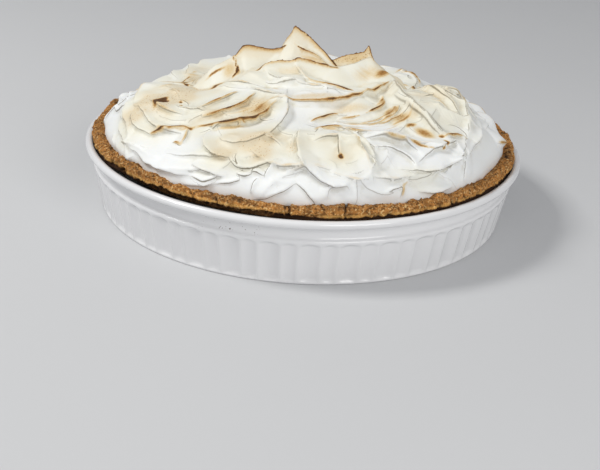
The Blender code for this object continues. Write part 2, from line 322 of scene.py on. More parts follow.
def toasted_meringue(settings):
    """White foam, creamed over its upper folds and browned along the ridges, with painted shade in its
    tucks and painted shadow lines below its fold edges.
    """
    material, graph, shader = new_material("toasted_meringue")
    point, _ = graph.place()
    cream = graph.attribute("cream")
    toast = graph.attribute("toast")
    cloud = graph.noise(point, 45.0, 3.0, 0.55)
    fine = graph.noise(point, 900.0, 3.0, 0.6)
    stipple = graph.noise(point, 1500.0, 1.0, 0.5)

    along_streaks = graph.attribute("streak_along") * 0.035
    across_streaks = graph.attribute("streak_across") * 0.62
    combed = graph.node("ShaderNodeCombineXYZ", inputs={0: across_streaks, 1: along_streaks})
    streaks = graph.noise(combed.outputs[0], 1.0, 2.0, 0.6)
    clear = graph.attribute("streak_clear")
    scored = graph.step(streaks, 0.50, 0.66)

    # cream holds real tan washes and painted shade in the tucks.
    wash = graph.clamped(cream * (0.55 + 0.9 * cloud))
    colour = graph.mix(graph.step(wash, 0.0, 0.6), settings.whipped, (0.82, 0.80, 0.69))
    colour = graph.mix(graph.step(wash, 0.5, 1.15), colour, (0.75, 0.64, 0.45))
    edge = graph.attribute("edge")
    # Painted shadow: a thin dark line just in front of each fold's edge, where its overhang would cast
    # shade.
    foot = 1.0 - graph.step(graph.math("ABSOLUTE", edge + 0.6), 0.0, 0.5)
    foot = foot * graph.attribute("edge_shadow") * (0.4 + 1.1 * cloud)
    # Painted shade: a darker tint in the tucks.
    colour = graph.mix(graph.attribute("crease_shade"), colour, (0.72, 0.69, 0.62), "MULTIPLY")
    colour = graph.mix(graph.clamped(foot), colour, (0.34, 0.31, 0.26), "MULTIPLY")
    freckles = graph.step(stipple, 0.60, 0.74) * graph.step(cream, 0.72, 1.05) * 0.6
    streaked = graph.attribute("streak_browned") * scored * (0.4 + 1.1 * cloud)
    width = 0.35 + 0.9 * graph.noise(point, 160.0, 2.0)
    line = 1.0 - graph.step(graph.math("ABSOLUTE", edge - 0.15), 0.2 * width, width)
    line = line * graph.attribute("edge_toast") ** 1.5 * (0.35 + 0.9 * cloud)
    heat = graph.clamped(toast * (0.62 + 0.82 * fine) + freckles + streaked + line)
    colour = graph.mix(graph.step(heat, 0.05, 0.40), colour, (0.72, 0.55, 0.30))
    colour = graph.mix(graph.step(heat, 0.30, 0.64), colour, settings.toasted)
    colour = graph.mix(graph.step(heat, 0.62, 0.96), colour, (0.11, 0.048, 0.013))
    skin = 0.16 * graph.noise(point, 260.0, 3.0, 0.5) + 0.05 * fine + 0.9 * clear * streaks
    values = {
        "Base Color": colour,
        "Roughness": 0.46 + 0.12 * cloud,
        "Normal": graph.bump(skin, 1.0 * MM, 0.6),
        "Subsurface Weight": 0.06,
        "Subsurface Radius": (1.0, 0.86, 0.66),
        "Subsurface Scale": 1.6 * MM,
        "Specular IOR Level": 0.38,
    }
    set_shader(graph, shader, values)
    return material


def plain_matte(name, colour):
    """A plain studio surface with a very slight unevenness."""
    material, graph, shader = new_material(name)
    point, _ = graph.place()
    drift = graph.noise(point, 3.0, 2.0)
    values = {
        "Base Color": graph.mix(drift, colour, tuple(0.96 * part for part in colour)),
        "Roughness": 0.9,
        "Specular IOR Level": 0.1,
    }
    set_shader(graph, shader, values)
    return material


# ---- meshes


def new_piece(name, mesh):
    piece = bpy.data.objects.new(name, mesh)
    bpy.context.scene.collection.objects.link(piece)
    return piece


def mesh_from(name, points, faces):
    mesh = bpy.data.meshes.new(name)
    mesh.from_pydata(points, [], faces)
    mesh.validate()
    mesh.shade_smooth()
    return mesh


def ring_faces(rings, steps, first=0):
    """Quads that join each ring of points to the next, right round."""
    faces = []
    for ring in range(rings - 1):
        for step in range(steps):
            after = (step + 1) % steps
            low = first + ring * steps
            faces.append((low + step, low + after, low + steps + after, low + steps + step))
    return faces


def arc(centre_radius, centre_height, size, first, last, count):
    """Points along an arc of a section, with angles in degrees from outward."""
    turns = np.radians(np.linspace(first, last, count))
    return list(zip(centre_radius + size * np.cos(turns), centre_height + size * np.sin(turns)))


def add_values(mesh, name, values):
    """Stores one number for each point of the mesh."""
    stored = mesh.attributes.new(name, "FLOAT", "POINT")
    stored.data.foreach_set("value", np.asarray(values, np.float32))


def read(items, name, width, kind=np.float32):
    """One property of every item, as rows of an array."""
    values = np.empty(len(items) * width, kind)
    items.foreach_get(name, values)
    return values.reshape(-1, width)


def coordinates(mesh):
    return read(mesh.vertices, "co", 3).astype(float)


def made_plain(piece):
    """Turns what the piece's modifiers make into its plain mesh."""
    graph = bpy.context.evaluated_depsgraph_get()
    mesh = bpy.data.meshes.new_from_object(piece.evaluated_get(graph))
    mesh.name = piece.name
    piece.modifiers.clear()
    piece.data = mesh
    return mesh


def belongs(piece, slot, *nodes):
    """The piece stands for these CAD nodes, which are hidden; the slot is not used."""
    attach(piece, "root")
    if nodes:
        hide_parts(*nodes)


# ---- geometry node trees


def new_form_tree(name, sizes):
    """A geometry tree with a named input for each size; returns its graph and its inputs."""
    tree = bpy.data.node_groups.new(name, "GeometryNodeTree")
    tree.interface.new_socket("Geometry", in_out="INPUT", socket_type="NodeSocketGeometry")
    for label, kind, _ in sizes:
        tree.interface.new_socket(label, in_out="INPUT", socket_type=kind)
    tree.interface.new_socket("Geometry", in_out="OUTPUT", socket_type="NodeSocketGeometry")
    graph = Graph(tree)
    given = graph.node("NodeGroupInput")
    inputs = {label: Value(graph, given.outputs[label]) for label, _, _ in sizes}
    inputs["Geometry"] = given.outputs["Geometry"]
    return tree, graph, inputs


def end_tree(graph, geometry, material):
    """Makes instances real, gives the finish and ends the tree."""
    real = graph.node("GeometryNodeRealizeInstances", inputs={"Geometry": geometry})
    inputs = {"Geometry": real.outputs["Geometry"], "Material": material}
    finished = graph.node("GeometryNodeSetMaterial", inputs=inputs)
    graph.node("NodeGroupOutput", inputs={"Geometry": finished.outputs["Geometry"]})


def add_tree(piece, tree, sizes):
    """Puts the tree on the piece, with each input set by its socket's identifier."""
    modifier = piece.modifiers.new(tree.name, "NODES")
    modifier.node_group = tree
    items = tree.interface.items_tree
    identifiers = {item.name: item.identifier for item in items if item.in_out == "INPUT"}
    for label, _, value in sizes:
        modifier[identifiers[label]] = value


# ---- dish

# The dish and the crust are laid out in millimetres.
BASE_RADIUS = 118.0
FOOT_RADIUS = 105.0
FOOT_RECESS = 0.8
WALL_RADIUS = 122.7
WALL_TOP = 25.2
BAND_RADIUS = 120.9
LIP_UNDERSIDE = 33.8
LIP_ROUND = 2.2
MOUTH_RADIUS = 122.6
FLOOR_RADIUS = 111.0
FLOOR_LEVEL = 5.0
WIDE_SHARE = 0.575
FIRST_FLUTE = math.radians(0.2)
WIDE_COLUMNS = 12
NARROW_COLUMNS = 9
SPECKLED_AT = math.radians(-110)


def dish_outline(lip_radius, height):
    """The dish's section from the middle of the foot to the middle of the floor, in metres."""
    lip_middle = lip_radius - LIP_ROUND
    foot = [(0.0, FOOT_RECESS), (FOOT_RADIUS - 1.0, FOOT_RECESS), (FOOT_RADIUS, 0.0)]
    heel = arc(BASE_RADIUS - 0.8, 0.8, 0.8, -90, -12, 5)
    slope = (WALL_RADIUS - BASE_RADIUS) / (WALL_TOP - 0.8)
    levels = [1.2, 1.7, 2.4, 4.0, 7.0, 11.0, 15.0, 18.0, 20.0] + list(np.arange(21.0, 25.1, 0.35))
    wall = [(BASE_RADIUS + slope * (level - 0.8), level) for level in levels]
    shoulder = arc(WALL_RADIUS - 1.5, WALL_TOP + 0.1, 1.5, 0, 80, 5)
    band = [
        (BAND_RADIUS + 0.1, WALL_TOP + 2.0),
        (BAND_RADIUS, WALL_TOP + 3.2),
        (BAND_RADIUS, LIP_UNDERSIDE - 2.4),
        (BAND_RADIUS + 0.4, LIP_UNDERSIDE - 1.2),
        (BAND_RADIUS + 1.4, LIP_UNDERSIDE - 0.3),
        (lip_middle - 0.6, LIP_UNDERSIDE),
    ]
    lip = arc(lip_middle, height - LIP_ROUND, LIP_ROUND, -72, 90, 12)
    inside = [
        (MOUTH_RADIUS + 1.0, height - 0.15),
        (MOUTH_RADIUS + 0.3, height - 0.55),
        (MOUTH_RADIUS, height - 1.3),
        (FLOOR_RADIUS + 2.2, FLOOR_LEVEL + 1.8),
        (FLOOR_RADIUS + 1.1, FLOOR_LEVEL + 0.5),
        (FLOOR_RADIUS - 0.6, FLOOR_LEVEL),
        (0.0, FLOOR_LEVEL),
    ]
    first_wall = len(foot) + len(heel)
    outline = foot + heel + wall + shoulder + band + lip + inside
    return np.array(outline) * MM, range(first_wall, first_wall + len(wall))


def flute_angles(pairs):
    """Angles of the columns round the dish, with one on every ridge between flutes."""
    wide = np.arange(WIDE_COLUMNS) / WIDE_COLUMNS * WIDE_SHARE
    narrow = WIDE_SHARE + np.arange(NARROW_COLUMNS) / NARROW_COLUMNS * (1 - WIDE_SHARE)
    within = np.concatenate([wide, narrow])
    turns = (np.arange(pairs)[:, None] + within[None, :]).ravel()
    return FRONT + FIRST_FLUTE + turns * math.tau / pairs


def turned_mesh(name, outline, angles):
    """A closed body of revolution from an outline that starts and ends on the axis."""
    points = [(0.0, 0.0, outline[0][1])]
    for radius, height in outline[1:-1]:
        points += [(radius * math.cos(angle), radius * math.sin(angle), height) for angle in angles]
    points.append((0.0, 0.0, outline[-1][1]))
    steps = len(angles)
    rings = len(outline) - 2
    faces = ring_faces(rings, steps, 1)
    last_ring = 1 + (rings - 1) * steps
    top = len(points) - 1
    for step in range(steps):
        after = (step + 1) % steps
        faces.append((0, 1 + after, 1 + step))
        faces.append((last_ring + step, last_ring + after, top))
    return mesh_from(name, points, faces)


def flute_tree(sizes, material):
    """Hollows the marked wall into wide and narrow flutes with arched tops."""
    tree, graph, given = new_form_tree("Flutes", sizes)
    position = graph.node("GeometryNodeInputPosition").outputs[0]
    parts = graph.node("ShaderNodeSeparateXYZ", inputs={0: position}).outputs
    x, y, z = (Value(graph, part) for part in parts)
    wall = graph.stored("wall")

    angle = graph.math("ARCTAN2", y, x)
    turn = graph.math("FRACT", (angle - given["First Flute"]) * given["Pairs"] / math.tau + 1.0e-4)
    share = given["Wide Share"]
    is_wide = graph.math("LESS_THAN", turn, share)
    across_wide = turn / share
    across_narrow = (turn - share) / (1.0 - share)
    across = across_wide * is_wide + across_narrow * (1.0 - is_wide)
    hollow = graph.clamped(4.0 * across * (1.0 - across))
    end = given["Wall Top"] - given["Arch"] * (1.0 - hollow)
    below_end = 1.0 - graph.step(z - end, -2.0 * MM, 0.1 * MM)
    above_foot = graph.step(z, 1.0 * MM, 2.6 * MM)
    depth = given["Depth"] * (0.72 + 0.28 * is_wide)
    inward = depth * hollow * below_end * above_foot * wall
    radius = graph.math("SQRT", x * x + y * y)
    back = inward / graph.math("MAXIMUM", radius, MM)
    offset = graph.node("ShaderNodeCombineXYZ", inputs={0: x * back * -1.0, 1: y * back * -1.0})
    inputs = {"Geometry": given["Geometry"], "Offset": offset.outputs[0]}
    moved = graph.node("GeometryNodeSetPosition", inputs=inputs)
    end_tree(graph, moved.outputs["Geometry"], material)
    return tree


class OBJECT_OT_pie_dish(bpy.types.Operator):
    """Makes the white dish with its rolled lip, plain band and fluted wall"""

    bl_idname = "object.pie_dish"
    bl_label = "Make Dish"

    def execute(self, context):
        settings = context.scene.pie_dish
        outline, wall_rings = dish_outline(settings.lip_radius / MM, settings.height / MM)
        angles = flute_angles(settings.flute_pairs)
        mesh = turned_mesh("fluted_dish", outline, angles)
        wall = np.zeros(len(mesh.vertices))
        for ring in wall_rings:
            first = 1 + (ring - 1) * len(angles)
            wall[first : first + len(angles)] = 1.0
        add_values(mesh, "wall", wall)
        piece = new_piece("fluted_dish", mesh)
        material = glazed_white(settings, (WALL_TOP + LIP_UNDERSIDE) / 2 * MM, SPECKLED_AT)
        sizes = (
            ("Pairs", "NodeSocketInt", settings.flute_pairs),
            ("Wide Share", "NodeSocketFloat", WIDE_SHARE),
            ("Depth", "NodeSocketFloat", settings.flute_depth),
            ("First Flute", "NodeSocketFloat", FRONT + FIRST_FLUTE),
            ("Wall Top", "NodeSocketFloat", (WALL_TOP - 0.2) * MM),
            ("Arch", "NodeSocketFloat", 1.3 * MM),
        )
        add_tree(piece, flute_tree(sizes, material), sizes)
        made_plain(piece).attributes.remove(piece.data.attributes["wall"])
        belongs(piece, "dish_glaze", "dish")
        return {"FINISHED"}


# ---- crust

CRUST_COLUMNS = 1260
CRUST_TOP = 43.9
CRUST_ROWS = 46
# The rim's radius, which turns an angle into a length along it.
RIM_REACH = 122.0
CRUMB_RADIUS = 0.42 * MM
SHRUNK_FROM = math.radians(-152)
SHRUNK_TO = math.radians(-82)
# Places round the rim: the broken overlap, the knob beside it and the raised chip.
OVERLAP_AT = math.radians(-138.8)
KNOB_AT = math.radians(-144.5)
CHIP_AT = math.radians(-53.4)
# Where each crack is, in degrees, and how deep it is, in millimetres.
CRACKS = (
    (-92.4, 2.4), (-79.5, 1.8), (-50.3, 2.4), (-138.8, 2.4), (-66, 0.8), (-20, 0.8), (-163, 0.9),
)


def smooth(value, start, end):
    """0 below start, 1 above end, and smooth between."""
    part = np.clip((value - start) / (end - start), 0.0, 1.0)
    return part * part * (3 - 2 * part)


def hump(value, middle, half_width):
    """1 at the middle, falling smoothly to 0 past half_width."""
    return np.exp(-(((value - middle) / half_width) ** 4))


def fractal(points, size, seed):
    """Noise from about -1 to 1 at each point, with features of the given size."""
    shift = Vector((seed * 17.3, seed * 5.1, seed * 9.7))
    flat = points.reshape(-1, 3).tolist()
    values = [noise.noise(Vector(point) / size + shift) for point in flat]
    return np.array(values).reshape(points.shape[:-1])


def crust_section(angles, settings):
    """Corners of the rim's section at each angle, how far it is shrunk there, and its lift."""
    shrunk = smooth(angles, SHRUNK_FROM, SHRUNK_FROM + 0.22)
    shrunk *= 1 - smooth(angles, SHRUNK_TO - 0.34, SHRUNK_TO)
    lift = settings.lift / MM * shrunk
    shrink = settings.shrink / MM * shrunk
    mouth = MOUTH_RADIUS
    corners = (
        (111.5, 36.7),
        (mouth - 3.0 - shrink, 36.0),
        (mouth - 0.9 - shrink, 36.4),
        (mouth - 0.8 - shrink, 38.5 + 0.85 * lift),
        (mouth - 0.45 - 0.25 * shrink, 39.0 + lift),
        (mouth - 0.1 - 0.2 * shrink, 41.0 + 0.6 * lift),
        (mouth - 0.9 - 0.2 * shrink, 43.0 + 0.45 * lift),
        (mouth - 3.0 - 0.1 * shrink, CRUST_TOP + 0.35 * lift),
        (117.6, CRUST_TOP - 0.5 + 0.2 * lift),
        (114.5, 41.6),
        (111.5, 39.2),
    )
    flat = np.zeros_like(angles)
    rows = np.array([(radius + flat, height + flat) for radius, height in corners])
    return rows, shrunk, lift


def between(before, start, end, after, part):
    """A point on a smooth line from start to end, part of the way along."""
    bend = (2 * before - 5 * start + 4 * end - after) * part**2
    twist = (3 * start - before - 3 * end + after) * part**3
    return 0.5 * (2 * start + (end - before) * part + bend + twist)


def rounded_rows(corners, count):
    """Rows along a closed smooth curve through the corners, spaced by its mean length."""
    whole = np.concatenate([corners[-1:], corners, corners[:2]])
    dense = []
    for k in range(len(corners)):
        before, start, end, after = whole[k : k + 4]
        for part in np.linspace(0, 1, 8, endpoint=False):
            dense.append(between(before, start, end, after, part))
    dense = np.array(dense + dense[:1])
    gaps = np.hypot(*(np.diff(dense, axis=0).mean(axis=2).T))
    along = np.concatenate([[0], np.cumsum(gaps)])
    wanted = np.linspace(0, along[-1], count, endpoint=False)
    rows = []
    for place in wanted:
        k = min(int(np.searchsorted(along, place, side="right")) - 1, len(gaps) - 1)
        part = (place - along[k]) / max(gaps[k], 1e-9)
        rows.append(dense[k] * (1 - part) + dense[k + 1] * part)
    return np.array(rows)


def crust_form(settings):
    """Points of the rough rim in metres, how exposed each is, how much painted shade and browning each has,
    and how golden.
    """
    angles = np.linspace(-math.pi, math.pi, CRUST_COLUMNS, endpoint=False)
    corners, shrunk, lift = crust_section(angles, settings)
    rows = rounded_rows(corners, CRUST_ROWS)
    radius, height = rows[:, 0, :], rows[:, 1, :]
    turn = np.broadcast_to(angles, radius.shape)

    chip = hump(turn, CHIP_AT, 0.030)
    knob = hump(turn, KNOB_AT, 0.022)
    overlap = smooth(turn, OVERLAP_AT - 0.012, OVERLAP_AT)
    overlap *= 1 - smooth(turn, OVERLAP_AT, OVERLAP_AT + 0.22)
    exposed = smooth(height, 37.6, 38.8) * smooth(radius, 114.0, 116.5)
    upper = smooth(height, 40.5, 43.0) * exposed
    height = height + upper * (2.0 * chip + 1.2 * knob + 1.8 * overlap)
    notch = (1 - overlap) * hump(turn, OVERLAP_AT - 0.1, 0.1)
    radius = radius + exposed * (0.5 * chip + 0.8 * overlap - 1.5 * notch)

    points = np.stack([radius * np.cos(turn), radius * np.sin(turn), height], -1)
    lumps = fractal(points, 9.0, 1)
    clods = fractal(points * (1, 1, 1.5), 3.6, 2)
    grit = fractal(points, 1.5, 3)
    pits = -np.abs(fractal(points, 2.4, 4))
    rough = 1.6 * lumps + 0.9 * clods + 0.6 * grit + 1.3 * (pits + 0.25)
    seams = 1 - smooth(np.abs(fractal(points, 11.0, 7)), 0.0, 0.07)
    seams *= smooth(fractal(points, 16.0, 8), -0.1, 0.2)

    along_edge = fractal(angles[:, None] * (RIM_REACH, 0, 0), 5.0, 5)
    ragged = hump(height - lift, 39.0, 1.5) * shrunk
    height = height + ragged * (0.7 * along_edge + 0.5 * np.abs(clods))

    depth = np.zeros(radius.shape)
    for place, deep in CRACKS:
        bent = math.radians(place) + 0.012 * clods + 0.010 * lumps
        away = (turn - bent) * RIM_REACH / (0.45 + 0.25 * clods)
        depth += deep * np.clip(0.75 + 1.3 * lumps, 0.1, 1) * np.exp(-(away**2))
    push = exposed * (rough - depth - 0.8 * seams)

    rise = np.roll(rows[:, 1, :], -1, 0) - np.roll(rows[:, 1, :], 1, 0)
    reach = np.roll(rows[:, 0, :], -1, 0) - np.roll(rows[:, 0, :], 1, 0)
    length = np.maximum(np.hypot(rise, reach), 1e-6)
    radius = radius + push * rise / length
    height = height - push * reach / length
    overhang = 0.4 * np.clip(height - DISH_HIGH.z / MM, 0, 2)
    radius = np.minimum(radius, MOUTH_RADIUS - 0.1 + overhang)
    points = np.stack([radius * np.cos(turn), radius * np.sin(turn), height], -1)

    # Painted shade on the crust's side in the shrunk gap, below its lower edge.
    shaded_gap_side = shrunk * (1 - smooth(height - lift, 38.9, 39.7))
    # Painted shade in the low spots of the roughness.
    shade_and_top_browning = 0.9 * np.clip(-clods - 0.12, 0, 1) + 0.7 * np.clip(-grit - 0.2, 0, 1)
    outer = smooth(radius, 118.5, 119.5)
    # Painted shade on the outer face under the rim's lower edge.
    shade_and_top_browning += 1.3 * outer * (1 - smooth(height + 0.3 * grit, 38.9, 39.5))
    # Real browning along the top edge.
    shade_and_top_browning += 0.3 * smooth(height, CRUST_TOP - 1.6, CRUST_TOP) * (0.6 + lumps)
    # browned: painted shade in the gap, cracks, seams and recesses, plus the top edge's browning.
    browned = np.clip(0.8 * shaded_gap_side + 0.8 * np.clip(depth, 0, 1) + 0.7 * seams + shade_and_top_browning, 0, 1)
    lower_edge = hump(height - lift, 40.1, 0.6) * outer
    golden = np.clip(lower_edge * (0.7 + 1.2 * lumps), 0, 1)
    return points * MM, exposed, browned, golden


def crumb_tree(sizes, material):
    """Scatters small angular crumbs over the exposed crust."""
    tree, graph, given = new_form_tree("Crumbs", sizes)
    density = given["Density"] * graph.stored("exposed")
    inputs = {"Mesh": given["Geometry"], "Density": density, "Seed": given["Seed"]}
    spread = graph.node("GeometryNodeDistributePointsOnFaces", {"distribute_method": "RANDOM"}, inputs)
    inputs = {"Radius": given["Crumb Size"], "Subdivisions": 1}
    crumb = graph.node("GeometryNodeMeshIcoSphere", inputs=inputs)
    inputs = {"Min": (0.45, 0.45, 0.35), "Max": (1.5, 1.2, 1.0), "Seed": given["Seed"]}
    size = graph.node("FunctionNodeRandomValue", {"data_type": "FLOAT_VECTOR"}, inputs)
    inputs = {"Min": (0.0, 0.0, 0.0), "Max": (math.tau, math.tau, math.tau), "Seed": given["Seed"] + 7.0}
    spin = graph.node("FunctionNodeRandomValue", {"data_type": "FLOAT_VECTOR"}, inputs)
    inputs = {
        "Points": spread.outputs["Points"],
        "Instance": crumb.outputs["Mesh"],
        "Rotation": spin.outputs[0],
        "Scale": size.outputs[0],
    }
    placed = graph.node("GeometryNodeInstanceOnPoints", inputs=inputs)
    end_tree(graph, placed.outputs["Instances"], material)
    return tree


class OBJECT_OT_pie_crust(bpy.types.Operator):
    """Makes the rough crumb crust that stands above the dish's lip, and its loose crumbs"""

    bl_idname = "object.pie_crust"
    bl_label = "Make Crust"

    def execute(self, context):
        settings = context.scene.pie_crust
        material = baked_crumb(settings)
        points, exposed, browned, golden = crust_form(settings)
        rows, columns = exposed.shape
        faces = ring_faces(rows + 1, columns)
        faces = [tuple(corner % exposed.size for corner in face) for face in faces]
        mesh = mesh_from("crumb_crust", points.reshape(-1, 3).tolist(), faces)
        # browned carries painted shade in the gap, cracks and recesses, and the top edge's real browning.
        add_values(mesh, "browned", browned.ravel())
        add_values(mesh, "golden", golden.ravel())
        mesh.materials.append(material)
        piece = new_piece("crumb_crust", mesh)

        scattered = mesh.copy()
        add_values(scattered, "exposed", exposed.ravel())
        crumbs = new_piece("crust_crumbs", scattered)
        sizes = (
            ("Density", "NodeSocketFloat", settings.crumbs / CENTIMETRE**2),
            ("Crumb Size", "NodeSocketFloat", CRUMB_RADIUS),
            ("Seed", "NodeSocketInt", settings.seed),
        )
        add_tree(crumbs, crumb_tree(sizes, material), sizes)
        made_plain(crumbs)

        belongs(piece, "baked_crust", "crust")
        belongs(crumbs, "baked_crust")
        return {"FINISHED"}


# ---- meringue

SEAM_LEVEL = 42.0 * MM
DOME_HEIGHT = 38.0 * MM
MERINGUE_BED = 36.4 * MM
SHEET_RINGS = 240
SHEET_COLUMNS = 1100
SHEET_SEED = 11
SECTION_STEPS = 400
FILLER_FOLDS = 90
SMALL_FOLDS = 150
# How far from its middle, and down to what level, a crest of the crown can reach.
CREST_WIDTH, CREST_DEPTH, CREST_LEVEL = 55, 45, 50
# Small folds are lower in front, between these bearings, where the listed folds lie.
FRONT_FROM, FRONT_TO = -2.7, -0.4
FILLER_REACH = 124
SMALL_REACH = 121
TOASTED_REACH = 92
MOST_FACES = 190000
LOOKS = (
    "toast", "cream", "edge", "edge_toast", "edge_shadow",
    "streak_across", "streak_along", "streak_clear", "streak_browned",
)

# The meringue is laid out as a flat round sheet, in millimetres from its middle with the
# front at -Y, and then draped over the dome. Headings run anticlockwise from +X.
# Every fold drops steeply on its right-hand side and eases off behind its left. Its turn is
# in degrees over its whole length, late if its sway is above 0; toast is how browned it is.
Fold = namedtuple(
    "Fold",
    "x y heading length turn rise back front lean toast wipe peak roll sway",
    defaults=(3.0, 9.0, 1.2, 0.7, 0.0, 0.7, 0.5, 0.0, 0.0),
)
Crest = namedtuple("Crest", "points foot run back_foot back_run lean toast tan")
Comb = namedtuple("Comb", "x y heading length turn sway width clear browned")

# Broad swells of the sheet: place, width, depth, turn and rise.
LOBES = (
    (0, -22, 36, 26, 0, 4.5), (72, -26, 22, 26, -20, 3), (83, 10, 12, 14, 0, 8),
    (105, 2, 12, 20, 0, -4), (112, 36, 8, 15, -10, 2.5), (106, 52, 5, 4, 0, 3.5),
    (114, 36, 4, 4, 0, 2.5), (-119, 27, 6, 6, 0, 6), (-34, 44, 28, 24, 0, -5),
    (-48, 68, 28, 20, 20, -6), (8, 80, 24, 16, 0, -4), (34, 80, 34, 24, 0, -5.5),
    (82, -99, 8, 6, 40, 2.6), (-84, -38, 18, 22, 0, 4), (-66, 30, 48, 36, 0, -17),
    (62, 34, 56, 36, 0, -9), (44, 14, 18, 24, 0, -10), (26, 24, 40, 24, 0, -10),
    (-46, 16, 16, 18, 0, -5), (0, 60, 30, 30, 0, -4), (18, -98, 22, 16, 0, 2.5),
    (-30, -96, 26, 14, 0, 2), (-57, -6, 11, 22, 0, -5), (20, -64, 24, 9, 14, -3),
    (116, 2, 9, 16, 0, -4), (17, -29, 14, 7, -20, -4), (-20, -33, 10, 6, -10, -3),
)

